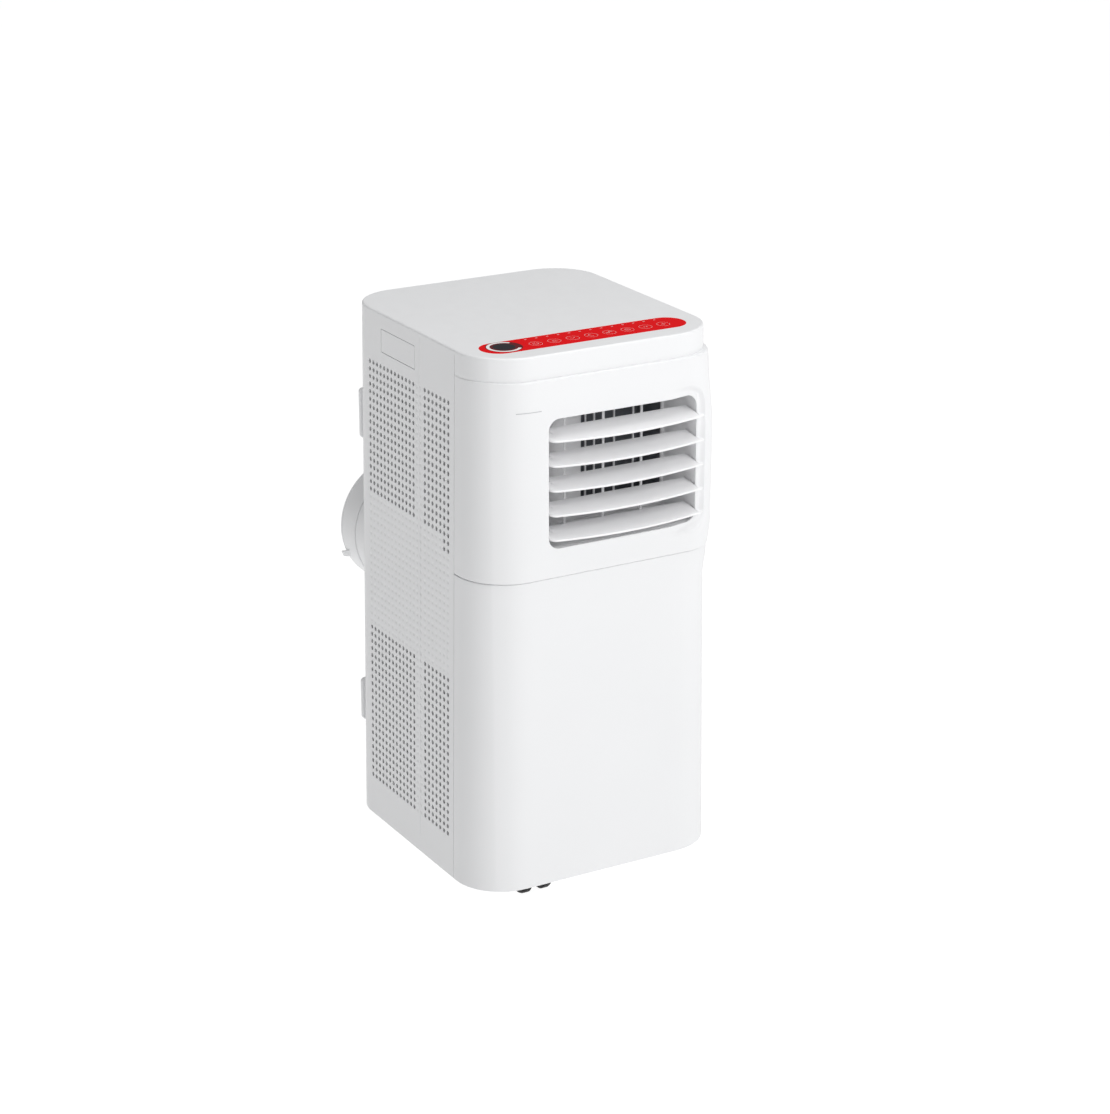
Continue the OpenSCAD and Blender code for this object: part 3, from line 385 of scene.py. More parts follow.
def piece(name, surface, body, slot, nodes=(), material=None, wall=0.0, bevel=0.0, segments=2, place=None,
          cutters=()):
    """Finishes a mesh: walls, holes, rounded edges, normals, material (the slot's unless one is given), body
    and replaced nodes.
    """
    bm = surface.bm
    loose = [v for v in bm.verts if not v.link_faces]
    bmesh.ops.delete(bm, geom=loose, context="VERTS")
    if wall:
        face_outwards(bm, Vector((0, MID_Y, TOP_Z / 2)))
    else:
        bmesh.ops.recalc_face_normals(bm, faces=bm.faces[:])
    mesh = bpy.data.meshes.new(name)
    bm.to_mesh(mesh)
    bm.free()
    if place is not None:
        mesh.transform(place)
        if place.determinant() < 0:
            mesh.flip_normals()
    obj = add_object(name, mesh)
    mesh.materials.append(material or MATERIALS[slot])
    if wall:
        solid = obj.modifiers.new("wall", "SOLIDIFY")
        solid.thickness = wall
        solid.offset = -1
        solid.use_even_offset = True
    for bar in cutters:
        hole = obj.modifiers.new("hole", "BOOLEAN")
        hole.operation = "DIFFERENCE"
        hole.solver = "EXACT"
        hole.object = bar
    if bevel:
        rounding = obj.modifiers.new("rounding", "BEVEL")
        rounding.width = bevel
        rounding.segments = segments
        rounding.limit_method = "ANGLE"
        rounding.angle_limit = math.radians(40)
        rounding.harden_normals = False
    apply_modifiers(obj)
    for bar in cutters:
        bpy.data.objects.remove(bar)
    obj.data.polygons.foreach_set("use_smooth", [True] * len(obj.data.polygons))
    obj.data.set_sharp_from_angle(angle=SMOOTH_ANGLE)
    weighted = obj.modifiers.new("normals", "WEIGHTED_NORMAL")
    weighted.keep_sharp = True
    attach(obj, body)
    if nodes:
        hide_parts(*nodes)
    return obj


def apply_modifiers(obj):
    depsgraph = bpy.context.evaluated_depsgraph_get()
    finished = bpy.data.meshes.new_from_object(obj.evaluated_get(depsgraph))
    finished.name = obj.name
    obj.modifiers.clear()
    obj.data = finished


def steps(a, b, count):
    return [a + (b - a) * k / count for k in range(count + 1)]


def arc(cx, cy, radius, start, end, count):
    """Points of a flat arc, with its angles in degrees."""
    found = []
    for angle in steps(start, end, count):
        a = math.radians(angle)
        found.append((cx + radius * math.cos(a), cy + radius * math.sin(a)))
    return found


def rounded_rectangle(x0, y0, x1, y1, radius, count=6):
    """Corner arcs in order: lower left, lower right, upper right, upper left."""
    corners = [(x0 + radius, y0 + radius, 180), (x1 - radius, y0 + radius, 270),
               (x1 - radius, y1 - radius, 0), (x0 + radius, y1 - radius, 90)]
    return [p for cx, cy, a in corners for p in arc(cx, cy, radius, a, a + 90, count)]


def perimeter(a_lines, b_lines):
    """Points around a grid of lines, from its low corner along the first direction."""
    line = [(a, b_lines[0]) for a in a_lines[:-1]] + [(a_lines[-1], b) for b in b_lines[:-1]]
    line += [(a, b_lines[-1]) for a in a_lines[:0:-1]] + [(a_lines[0], b) for b in b_lines[:0:-1]]
    return line


# ---------- casing outlines ----------

# The front's columns are evenly spaced across it up to FLAT_X, and by angle round the rest of each corner.
FLAT_X = 141.5 * MM
SIDE_STEPS = 3
# Where the rear corner's arc ends. What is left of it, 0.1 mm deep, belongs to the back's flat face.
REAR_ARC_END = math.radians(86.5)


def front_columns(x_lines):
    """Columns of a front moulding from its left seam to its right seam."""
    right = [("arc", 1, v) for v in steps(0, 1, ARC_STEPS)[1:]]
    right += [("side", 1, v) for v in steps(0, 1, SIDE_STEPS)[1:]]
    left = [(kind, -1, v) for kind, _, v in right[::-1]]
    return left + [("x", 0, x) for x in x_lines] + right


def front_point(column, z, proud, inset=0.0, filled=True):
    """Where a column meets the outer surface at a height."""
    kind, side, value = column
    half = half_width(z) - inset
    front = FRONT_Y - proud + inset
    at_right = side > 0 or (kind == "x" and value > 0)
    r = FRONT_R - inset - (corner_fill(z) if at_right and filled else 0.0)
    cx, cy = half - r, front + r
    if kind == "x":
        over = max(0.0, abs(value) - cx)
        y = front + r - math.sqrt(max(0.0, r * r - over * over))
        return (value, y, z)
    if kind == "arc":
        start = math.asin(max(0.0, min(1.0, (FLAT_X - cx) / r)))
        angle = start + (math.pi / 2 - start) * value
        return (side * (cx + r * math.sin(angle)), cy - r * math.cos(angle), z)
    return (side * half, cy + (FRONT_SEAM_Y - cy) * value, z)


PLAIN_X = steps(-FLAT_X, FLAT_X, 24)


def rear_columns():
    """From the right seam, round the back, to the left seam: kind, side and fraction."""
    right = [("side", 1, 0.0)] + [("arc", 1, v) for v in steps(0, 1, ARC_STEPS)]
    return right, [(kind, -1, v) for kind, _, v in right[::-1]]


def rear_point(column, z, inset=0.0, seam_y=REAR_SEAM_Y):
    """Where a column meets the outer surface. Where the seam cuts the corner, the arc starts at the seam."""
    kind, side, value = column
    half = half_width(z) - inset
    r = REAR_R - inset
    if kind == "side":
        return (side * half, seam_y, z)
    cx, cy = half - r, BACK_Y - inset - r
    start = math.asin(max(0.0, seam_y - cy) / r)
    angle = start + (REAR_ARC_END - start) * value
    return (side * (cx + r * math.cos(angle)), cy + r * math.sin(angle), z)


# ---------- top cover and control panel ----------

PANEL_LOW, PANEL_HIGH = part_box("control_panel")
PANEL_X = (PANEL_LOW.x + PANEL_HIGH.x) / 2
PANEL_Y = (PANEL_LOW.y + PANEL_HIGH.y) / 2
PANEL_L = PANEL_HIGH.x - PANEL_LOW.x
PANEL_W = PANEL_HIGH.y - PANEL_LOW.y
PANEL_T = PANEL_HIGH.z - PANEL_LOW.z
PANEL_GAP = 0.3 * MM


def fillet_rows(z_top, radius, count=5):
    """Heights and insets of a quarter round that ends at z_top."""
    rows = []
    for angle in steps(0, 90, count):
        a = math.radians(angle)
        rows.append((z_top - radius + radius * math.sin(a), radius - radius * math.cos(a)))
    return rows


def seam_rows(z_low):
    """Heights and insets of the lower edge of a front moulding."""
    return [(z_low, RIM), (z_low, SEAM_R), (z_low + 0.3 * SEAM_R, 0.3 * SEAM_R)]


def panel_outline(grow):
    """The panel's outline with its round ends, longer and wider by grow."""
    r = (PANEL_W + grow) / 2
    reach = (PANEL_L + grow) / 2 - r
    return arc(PANEL_X + reach, PANEL_Y, r, -90, 90, 20) + arc(PANEL_X - reach, PANEL_Y, r, 90, 270, 20)


def top_cover():
    s = Surface()
    columns = front_columns(PLAIN_X)
    lid_z = TOP_Z - LID_T
    rows = seam_rows(FASCIA_Z) + [(z, 0.0) for z in steps(FASCIA_Z + SEAM_R, lid_z, 5)]
    s.grid([[front_point(c, z, 0.0, inset, filled=False) for c in columns] for z, inset in rows])
    right, left = rear_columns()
    corner_y = BACK_Y - REAR_R - 1 * MM
    loops = []
    for z, inset in [(lid_z, 0.0)] + fillet_rows(TOP_Z, EDGE_R):
        ring = [front_point(c, z, 0.0, inset, filled=False) for c in columns]
        ring += [rear_point(c, z, inset, corner_y) for c in right + left]
        loops.append(ring)
    s.grid(loops, closed=True)
    recess = panel_outline(2 * PANEL_GAP)
    rim = [(x, y, TOP_Z) for x, y in recess]
    bottom = [(x, y, TOP_Z - PANEL_T) for x, y in recess]
    s.fill([loops[-1], rim])
    s.grid([rim, bottom], closed=True)
    s.cap(bottom)
    piece("top_cover", s, "root", "shell_white", ["top_cover"], wall=WALL, bevel=0.25 * MM)


def flat_solid(surface, outline, z0, z1):
    """Upright prism over a flat outline."""
    lower = [(x, y, z0) for x, y in outline]
    upper = [(x, y, z1) for x, y in outline]
    surface.solid([lower, upper])


def flat_band(surface, outer, inner, z0, z1):
    """Upright ring between two outlines of equal length."""
    section = ((inner, z0), (outer, z0), (outer, z1), (inner, z1))
    rows = [[(x, y, z) for x, y in line] for line, z in section]
    surface.grid(rows + rows[:1], closed=True)


def stroke(surface, points, width, z0, z1):
    """Printed line of constant width through flat points."""
    left, right = [], []
    for i, p in enumerate(points):
        before = Vector(points[max(0, i - 1)])
        after = Vector(points[min(len(points) - 1, i + 1)])
        along = (after - before).normalized()
        across = Vector((-along.y, along.x)) * width / 2
        left.append(tuple(Vector(p) + across))
        right.append(tuple(Vector(p) - across))
    for a, b, c, d in zip(left, left[1:], right[1:], right):
        flat_solid(surface, [a, b, c, d], z0, z1)


# Thickness of the print, and of the red sheet that carries it.
PRINT_T = 0.05 * MM
RED_T = PANEL_T - 0.12 * MM


def touch_symbols():
    """Generic signs for the touch keys, each a list of lines in a square from -1 to 1."""
    wave = [(x, 0.45 * math.sin(x * math.pi)) for x in steps(-1, 1, 12)]
    return [
        [arc(0, 0, 0.8, 120, 420, 16), [(0, 0.2), (0, 1)]],
        [[(-0.7, 0), (0, 0.6), (0.7, 0)], [(-0.7, -0.6), (0.7, -0.6)]],
        [[(-0.7, 0.3), (0, -0.4), (0.7, 0.3)]],
        [arc(0, 0, 0.8, 60, 300, 14)],
        [wave, [(x, y + 0.55) for x, y in wave]],
        [arc(0, 0, 0.75, 0, 360, 20), [(0, 0.5), (0, 0), (0.35, 0)]],
        [[(-0.7, -0.5), (-0.2, 0.6), (0.2, -0.6), (0.7, 0.5)]],
        [[(-0.7, 0), (0.7, 0)], [(0, -0.7), (0, 0.7)]],
    ]


# Touch keys and marks: first place, pitch, distance from the panel's middle line, sizes.
KEY_FIRST_X = -66 * MM
KEY_PITCH = 24.5 * MM
KEY_DY = -3.5 * MM
KEY_R = 7.8 * MM
SYMBOL_HALF = 4.25 * MM
SYMBOL_LINE = 0.55 * MM
KEY_LINE = 0.7 * SYMBOL_LINE
MARK_FIRST_X = -68 * MM
MARK_PITCH = 14.5 * MM
MARK_DY = 17.5 * MM
MARK_COUNT = 13
MARK_HALF = (1.5 * MM, 0.7 * MM)
MARK_R = 0.5 * MM
# Round display, with an open ring around it on a darker ground.
DISPLAY_X = -104.4 * MM
DISPLAY_DY = 2.0 * MM
DISPLAY_R = 13.2 * MM
RING_R = 20.5 * MM
RING_T = 3.8 * MM
RING_START = 42
RING_END = 322
GROUND_R = RING_R + 1.2 * MM
# Pale border around the red sheet: what it adds to the sheet's size, and what it leaves of it.
BORDER_OUT = 1.2 * MM
BORDER_IN = 0.6 * MM
BORDER_Z = (TOP_Z - 0.2 * MM, TOP_Z - 0.02 * MM)


def disc(radius, z0, z1):
    """Flat round sheet at the display."""
    s = Surface()
    outline = arc(DISPLAY_X, PANEL_Y + DISPLAY_DY, radius, 0, 360, 64)[:-1]
    flat_solid(s, outline, z0, z1)
    return s


def control_panel():
    red = Surface()
    flat_solid(red, panel_outline(0), PANEL_LOW.z, PANEL_LOW.z + RED_T)
    piece("control_panel", red, "root", "panel_red", ["control_panel"], bevel=0.25 * MM)

    z0, z1 = PANEL_LOW.z + RED_T - PRINT_T, PANEL_LOW.z + RED_T + PRINT_T / 2
    border = Surface()
    flat_band(border, panel_outline(BORDER_OUT), panel_outline(-BORDER_IN), *BORDER_Z)
    piece("panel_border", border, "root", "panel_red", material=INK_WHITE)

    keys = Surface()
    for k, symbol in enumerate(touch_symbols()):
        cx, cy = KEY_FIRST_X + k * KEY_PITCH, PANEL_Y + KEY_DY
        stroke(keys, arc(cx, cy, KEY_R, 0, 360, 36), KEY_LINE, z0, z1)
        for part in symbol:
            line = [(cx + SYMBOL_HALF * x, cy + SYMBOL_HALF * y) for x, y in part]
            stroke(keys, line, SYMBOL_LINE, z0, z1)
    half_x, half_y = MARK_HALF
    for k in range(MARK_COUNT):
        cx, cy = MARK_FIRST_X + k * MARK_PITCH, PANEL_Y + MARK_DY
        mark = rounded_rectangle(cx - half_x, cy - half_y, cx + half_x, cy + half_y, MARK_R, 3)
        flat_solid(keys, mark, z0, z1)
    piece("panel_icons", keys, "root", "panel_red", material=INK)

    z2 = z1 + PRINT_T / 2
    piece("display_ground", disc(GROUND_R, z0, z1), "root", "panel_red", material=MAROON)
    ring = Surface()
    middle = arc(DISPLAY_X, PANEL_Y + DISPLAY_DY, RING_R - RING_T / 2, RING_START, RING_END, 56)
    stroke(ring, middle, RING_T, z1, z2)
    piece("display_ring", ring, "root", "panel_red", material=INK_WHITE)
    piece("display_window", disc(DISPLAY_R, z1, z2), "root", "black_plastic", material=DISPLAY)


# ---------- front mouldings ----------

# Shallow dish to the right of the outlet, over which the blade tips pass.
DISH_DEPTH = 5.7 * MM
DISH_FLAT = 5.5 * MM
DISH_END = 13.5 * MM
DISH_FADE_X = (82 * MM, 118 * MM)
# The shell swells slightly around the outlet and eases back below it.
SWELL = 1.1 * MM
SWELL_Z = (424 * MM, 452 * MM)
SWELL_X = (-112 * MM, -84 * MM)
SWELL_END_X = 120 * MM
SWELL_TOP_Z = (SHELL_HIGH_Z - 40 * MM, SHELL_HIGH_Z - 8 * MM)
# Rings of faces around the outlet, by distance from its edge, and the frame around them.
RING_OFFSETS = [0.0, 1.0 * MM, 3.0 * MM, 5.5 * MM, 7.5 * MM, 9.5 * MM, 11.5 * MM, 14.0 * MM]
FRAME_X = (-100 * MM, FLAT_X)
FRAME_Z = (430 * MM, 626 * MM)
CORNER_STEPS = 8
SIDE_X_STEPS = 22
SIDE_Z_STEPS = 16


def outside_distance(x, z):
    """Distance of a place on the front from the outlet's edge."""
    cx, cz = (OUTLET_LEFT + OUTLET_RIGHT) / 2, (OUTLET_LOW + OUTLET_HIGH) / 2
    dx = abs(x - cx) - (OUTLET_RIGHT - OUTLET_LEFT) / 2 + OUTLET_R
    dz = abs(z - cz) - (OUTLET_HIGH - OUTLET_LOW) / 2 + OUTLET_R
    return math.hypot(max(dx, 0), max(dz, 0)) + min(max(dx, dz), 0) - OUTLET_R


def shell_shape(column, z, inset=0.0):
    """Outer surface of the upper front shell, with its swell and its dish."""
    x, y, _ = front_point(column, z, PROUD, inset)
    if column[0] == "x":
        upwards = smoothstep(*SWELL_Z, z) * (1 - smoothstep(*SWELL_TOP_Z, z))
        across = smoothstep(*SWELL_X, x) * (1 - smoothstep(SWELL_END_X, FLAT_X, x))
        y -= SWELL * upwards * across
        depth = 1 - smoothstep(DISH_FLAT, DISH_END, outside_distance(x, z))
        y += DISH_DEPTH * depth * smoothstep(*DISH_FADE_X, x)
    return (x, y, z)


def outlet_ring(offset):
    """Rounded outline at a distance from the outlet, from its lower left corner."""
    x0, x1 = OUTLET_LEFT + OUTLET_R, OUTLET_RIGHT - OUTLET_R
    z0, z1 = OUTLET_LOW + OUTLET_R, OUTLET_HIGH - OUTLET_R
    r = OUTLET_R + offset
    line = []
    x, z = x0, z0 - r
    for k, (cx, cz) in enumerate([(x1, z0), (x1, z1), (x0, z1), (x0, z0)]):
        turn = arc(cx, cz, r, 90 * k - 90, 90 * k, CORNER_STEPS)
        count = SIDE_Z_STEPS if k % 2 else SIDE_X_STEPS
        line += list(zip(steps(x, turn[0][0], count), steps(z, turn[0][1], count)))[:-1] + turn[:-1]
        x, z = turn[-1]
    return line


def frame_ring(x_lines, z_lines):
    """The frame's outline, started so that it pairs with outlet_ring."""
    line = perimeter(x_lines, z_lines)
    start = CORNER_STEPS // 2
    return line[start:] + line[:start]


def front_upper_shell():
    s = Surface()
    x_lines = steps(*FRAME_X, SIDE_X_STEPS + CORNER_STEPS)
    z_lines = steps(*FRAME_Z, SIDE_Z_STEPS + CORNER_STEPS)
    flat = steps(-FLAT_X, FRAME_X[0], 4)[:-1] + x_lines
    columns = front_columns(flat)
    below = steps(SHELL_LOW_Z + SEAM_R, FRAME_Z[0], 4)[:-1]
    above = steps(FRAME_Z[1], SHELL_HIGH_Z - LIP_R, 6)[1:]
    rows = [(z, 0.0) for z in below + z_lines + above[:-1]] + fillet_rows(SHELL_HIGH_Z, LIP_R)
    rows = seam_rows(SHELL_LOW_Z) + rows + [(SHELL_HIGH_Z, RIM)]
    points = [[shell_shape(c, z, inset) for c in columns] for z, inset in rows]
    first_col = columns.index(("x", 0, x_lines[0]))
    first_row = len(seam_rows(SHELL_LOW_Z)) + len(below)

    def inside(i, j):
        in_z = first_row <= i < first_row + len(z_lines) - 1
        return in_z and first_col <= j < first_col + len(x_lines) - 1

    s.grid(points, skip=inside)
    loops = [outlet_ring(offset) for offset in RING_OFFSETS] + [frame_ring(x_lines, z_lines)]
    s.grid([[shell_shape(("x", 0, x), z) for x, z in loop] for loop in loops], closed=True)
    piece("front_upper_shell", s, "root", "shell_white", ["front_upper_shell"], wall=WALL, bevel=0.35 * MM,
          segments=3)


def front_lower_panel():
    s = Surface()
    columns = front_columns(PLAIN_X)
    # closer rows where the right corner begins to fill out
    filling_z = 360 * MM
    heights = steps(GROUND_Z, filling_z, 6)[:-1] + steps(filling_z, MID_SEAM_Z, 8)
    rows = [(z, 0.0) for z in heights[:-1]] + fillet_rows(MID_SEAM_Z, SEAM_R, 3) + [(MID_SEAM_Z, RIM)]
    s.grid([[front_point(c, z, 0.0, inset) for c in columns] for z, inset in rows])
    piece("front_lower_panel", s, "root", "shell_white", ["front_lower_panel"], wall=WALL, bevel=0.5 * MM,
          segments=3)


# Tongues behind the seams: how thick they are, how far in they lie and where they begin and end.
TONGUE_T = 1.5 * MM
FASCIA_TONGUE_IN = 0.45 * MM
FASCIA_TONGUE_Z = (FASCIA_Z - 2 * MM, FASCIA_Z + 0.5 * MM)
UPRIGHT_TONGUES = [("front", FRONT_SEAM_Y, 1.6 * MM), ("rear", REAR_SEAM_Y, 0.9 * MM)]
UPRIGHT_TONGUE_Y = (-4 * MM, 2 * MM)
UPRIGHT_TONGUE_END = 0.5 * MM


def fascia_backing():
    """Tongue of the front shell behind the lower edge of the top cover."""
    s = Surface()
    columns = front_columns(PLAIN_X)
    z0, z1 = FASCIA_TONGUE_Z
    near, far = FASCIA_TONGUE_IN, FASCIA_TONGUE_IN + TONGUE_T
    outline = [(z0, near), (z1, near), (z1, far), (z0, far)]
    rows = [[front_point(c, z, 0.0, inset, filled=False) for z, inset in outline] for c in columns]
    s.solid(rows)
    piece("seam_backing_fascia", s, "root", "shell_white")


def seam_backing():
    """Strips behind the upright seams, as the tongue of one moulding lies behind the edge of the next."""
    for name, seam_y, depth in UPRIGHT_TONGUES:
        s = Surface()
        y0, y1 = [seam_y + dy for dy in UPRIGHT_TONGUE_Y]
        for side in (-1, 1):
            rows = []
            for z in (GROUND_Z + UPRIGHT_TONGUE_END, TOP_Z - LID_T - UPRIGHT_TONGUE_END):
                x = side * (half_width(z) - depth)
                inner = side * (half_width(z) - depth - TONGUE_T)
                rows.append([(x, y0, z), (x, y1, z), (inner, y1, z), (inner, y0, z)])
            s.solid(rows)
        piece("seam_backing_" + name, s, "root", "shell_white")


# Short line on the upper shell: ends, height, width, how far it stands out and how thick it is.
LINE_X = (-118 * MM, -87 * MM)
LINE_Z = 618 * MM
LINE_H = 0.9 * MM
LINE_OUT = 0.08 * MM
LINE_T = 0.4 * MM


def front_groove():
    """Short line on the upper shell: a thin grey strip whose grey is painted shade of a groove."""
    s = Surface()
    z0, z1 = LINE_Z, LINE_Z + LINE_H
    rows = []
    for x in steps(*LINE_X, 12):
        y0 = shell_shape(("x", 0, x), LINE_Z)[1] - LINE_OUT
        y1 = y0 + LINE_T
        rows.append([(x, y0, z0), (x, y1, z0), (x, y1, z1), (x, y0, z1)])
    s.solid(rows)
    piece("front_groove", s, "root", "shell_white", material=GROOVE_SHADE_PAINT)


# ---------- side panels ----------

# Perforation: a rear and a front field, each of an upper and a lower block with blind rows between.
HOLE_PITCH = 9.5 * MM
FRONT_PITCH = 9.8 * MM
HOLE_R = 2.8 * MM
HOLE_DEPTH = 2.4 * MM
HOLE_EDGE = 0.25 * MM
HOLE_TOP = 617 * MM
REAR_COLS = 13
FRONT_COLS = 7
UPPER_ROWS = 18
BLIND_ROWS = 18
LOWER_ROWS = 22
FIRST_COL_Y = SIDE_REAR_Y - 12 * MM
FRONT_COL_Y = MID_Y - 33 * MM
# The foremost columns have more pierced rows in the upper block.
LONG_COLS = 2
LONG_ROWS = 2
DIMPLE_R = 2.5 * MM
DIMPLE_DEPTH = 0.55 * MM
HOLE_SIDES = 20
# Columns of blind dimples between the fields, in pitches from the rear field's last column.
BLIND_COLUMNS = [1, 1.95]
# Handle opening with its pocket, and the return around the panel's edge.
HANDLE_Y = (MID_Y - 8.5 * MM, MID_Y + 79.5 * MM)
HANDLE_Z = (635 * MM, 664 * MM)
HANDLE_R = 1.5 * MM
POCKET = 34 * MM
RETURN = 6 * MM
# Upright ridge between the two perforated fields.
RIDGE_Y = MID_Y - 20 * MM
RIDGE_W = 1.6 * MM
RIDGE_H = 0.35 * MM
RIDGE_ROOT = 0.3 * MM
RIDGE_Z = (GROUND_Z + 22 * MM, TOP_Z - LID_T - 1 * MM)
# Flap in the handle opening.
FLAP_GAP = 0.7 * MM
FLAP_R = 1.2 * MM
FLAP_T = 2.2 * MM
HINGE_X = 4.4 * MM
HINGE_DROP = 2.4 * MM
HINGE_R = 1.5 * MM
HINGE_OUT = 2 * MM
HINGE_LUG_IN = 3 * MM
HINGE_LUG_W = 6 * MM


def side_place(side):
    """Frame of a side: x runs inwards from the outer face, z is the height before the side leans."""
    lean = Matrix.Translation((-HALF_TOP, 0, TOP_Z)) @ Matrix.Rotation(DRAFT, 4, "Y")
    lean = lean @ Matrix.Translation((0, 0, -TOP_Z))
    return lean if side < 0 else Matrix.Scale(-1, 4, (1, 0, 0)) @ lean


def hole_columns():
    """Places along the depth, from the front, with whether the column is pierced and how many rows more."""
    rear = [(FIRST_COL_Y - k * HOLE_PITCH, True, 0) for k in range(REAR_COLS)]
    middle = [(rear[-1][0] - n * HOLE_PITCH, False, 0) for n in BLIND_COLUMNS]
    front = []
    for k in range(FRONT_COLS):
        more = LONG_ROWS if k >= FRONT_COLS - LONG_COLS else 0
        front.append((FRONT_COL_Y - k * FRONT_PITCH, True, more))
    return (rear + middle + front)[::-1]


def hole_ring(depth, y, z, radius):
    return [(depth, a, b) for a, b in arc(y, z, radius, 0, 360, HOLE_SIDES)[:-1]]


def perforation(s, y, z, edges, pierced):
    """One cell of the field: a flat square around a hole or a blind dimple."""
    y0, z0, y1, z1 = edges
    corners = [(0, y1, z1), (0, y0, z1), (0, y0, z0), (0, y1, z0)]
    radius = HOLE_R + HOLE_EDGE if pierced else DIMPLE_R
    ring = hole_ring(0, y, z, radius)
    quarter = HOLE_SIDES // 4
    for c in range(4):
        for k in range(quarter):
            i = c * quarter + k
            s.face([corners[c], ring[i], ring[(i + 1) % HOLE_SIDES]])
        s.face([corners[c], ring[(c + 1) * quarter % HOLE_SIDES], corners[(c + 1) % 4]])
    if pierced:
        s.grid([ring, hole_ring(HOLE_EDGE, y, z, HOLE_R), hole_ring(HOLE_DEPTH, y, z, HOLE_R)], closed=True)
    else:
        half_way = hole_ring(0.7 * DIMPLE_DEPTH, y, z, 0.75 * DIMPLE_R)
        bottom = hole_ring(DIMPLE_DEPTH, y, z, 0.35 * DIMPLE_R)
        s.grid([ring, half_way, bottom], closed=True)
        s.cap(bottom)


def mid_lines(centres, margin):
    middles = [(a + b) / 2 for a, b in zip(centres, centres[1:])]
    return [centres[0] - margin] + middles + [centres[-1] + margin]


def side_panel(side, name):
    s = Surface()
    columns = hole_columns()
    rows = UPPER_ROWS + BLIND_ROWS + LOWER_ROWS
    row_z = [HOLE_TOP - r * HOLE_PITCH for r in range(rows)][::-1]
    y_lines = mid_lines([c[0] for c in columns], HOLE_PITCH / 2)
    z_lines = mid_lines(row_z, HOLE_PITCH / 2)
    for i, (y, column_pierced, more) in enumerate(columns):
        for j, z in enumerate(row_z):
            from_top = rows - 1 - j
            blind = UPPER_ROWS + more <= from_top < UPPER_ROWS + BLIND_ROWS
            cell = (y_lines[i], z_lines[j], y_lines[i + 1], z_lines[j + 1])
            perforation(s, y, z, cell, column_pierced and not blind)
    field = [(0, y, z) for y, z in perimeter(y_lines, z_lines)]
    outline = [(0, SIDE_FRONT_Y, GROUND_Z), (0, SIDE_REAR_Y, GROUND_Z),
               (0, SIDE_REAR_Y, TOP_Z - LID_T), (0, SIDE_FRONT_Y, TOP_Z - LID_T)]
    opening = rounded_rectangle(HANDLE_Y[0], HANDLE_Z[0], HANDLE_Y[1], HANDLE_Z[1], HANDLE_R, 4)
    mouth = [(0, y, z) for y, z in opening]
    s.fill([outline, field, mouth])
    back = [(POCKET, y, z) for y, z in opening]
    s.grid([mouth, back], closed=True)
    s.cap(back)
    inner = [(RETURN, y, z) for _, y, z in outline]
    s.grid([outline, inner], closed=True)
    piece(name, s, "root", "shell_white", [name], place=side_place(side))


def side_ridge(side, name):
    s = Surface()
    foot, crest = RIDGE_W / 2, RIDGE_W / 6
    profile = [(RIDGE_ROOT, -foot), (0.0, -foot), (-RIDGE_H, -crest), (-RIDGE_H, crest), (0.0, foot),
               (RIDGE_ROOT, foot)]
    rows = [[(x, RIDGE_Y + y, z) for x, y in profile] for z in RIDGE_Z]
    s.solid(rows)
    piece(name, s, "root", "shell_white", place=side_place(side))


def side_panels():
    for side, name in ((-1, "left"), (1, "right")):
        side_panel(side, "side_panel_" + name)
        side_ridge(side, "side_ridge_" + name)


def handle_flap(side, name, body):
    s = Surface()
    y0, y1 = HANDLE_Y[0] + FLAP_GAP, HANDLE_Y[1] - FLAP_GAP
    z0, z1 = HANDLE_Z[0] + FLAP_GAP, HANDLE_Z[1] - FLAP_GAP
    plate = rounded_rectangle(y0, z0, y1, z1, FLAP_R, 4)
    s.solid([[(x, y, z) for y, z in plate] for x in (0, FLAP_T)])
    hinge_z = HANDLE_Z[1] - HINGE_DROP
    s.rod((HINGE_X, y0 - HINGE_OUT, hinge_z), (HINGE_X, y1 + HINGE_OUT, hinge_z), HINGE_R)
    for y in (y0 + HINGE_LUG_IN, y1 - HINGE_LUG_IN - HINGE_LUG_W):
        low_corner = (FLAP_T + 0.1 * MM, y, hinge_z - 2 * MM)
        s.box(low_corner, (HINGE_X, y + HINGE_LUG_W, hinge_z + 1.4 * MM))
    piece(name, s, body, "shell_white", [name], bevel=0.3 * MM, place=side_place(side))


# ---------- air outlet ----------

BLADE_N = 5
BLADE_HALF = (OUTLET_RIGHT - OUTLET_LEFT) / 2 - 0.9 * MM
BLADE_TILT = math.radians(10)
BLADE_REACH = 21 * MM
BLADE_BOW = 8.5 * MM
BLADE_TAIL = 11.7 * MM
NOSE_R = 1.45 * MM
TAIL_R = 0.9 * MM
TIP_OUT = 6.3 * MM
LINK_X = 8 * MM
CORNER = 9 * MM


def lip(x):
    """Front edge of a blade: a shallow bow with its left corner rounded."""
    bow_r = (BLADE_HALF ** 2 + BLADE_BOW ** 2) / (2 * BLADE_BOW)
    y = bow_r - math.sqrt(bow_r ** 2 - x * x) - BLADE_REACH - BLADE_BOW
    into = x + BLADE_HALF
    if into < CORNER:
        y += CORNER - math.sqrt(max(0.0, CORNER ** 2 - (CORNER - into) ** 2))
    return y


# Blade section: least depth, and how far the upper and lower face curve upwards in the middle.
CHORD_MIN = 1.2 * MM
UPPER_CURVE = 0.9 * MM
LOWER_CURVE = 0.7 * MM
# Notch for the link, the tail along the tip, and the pins at both ends.
NOTCH_W = 8 * MM
NOTCH_TAIL = 2 * MM
TIP_TAIL = (-13.5 * MM, -18.3 * MM)
PIN_OUT = 2.4 * MM
PIN_IN = 1 * MM
PIN_R = 2 * MM
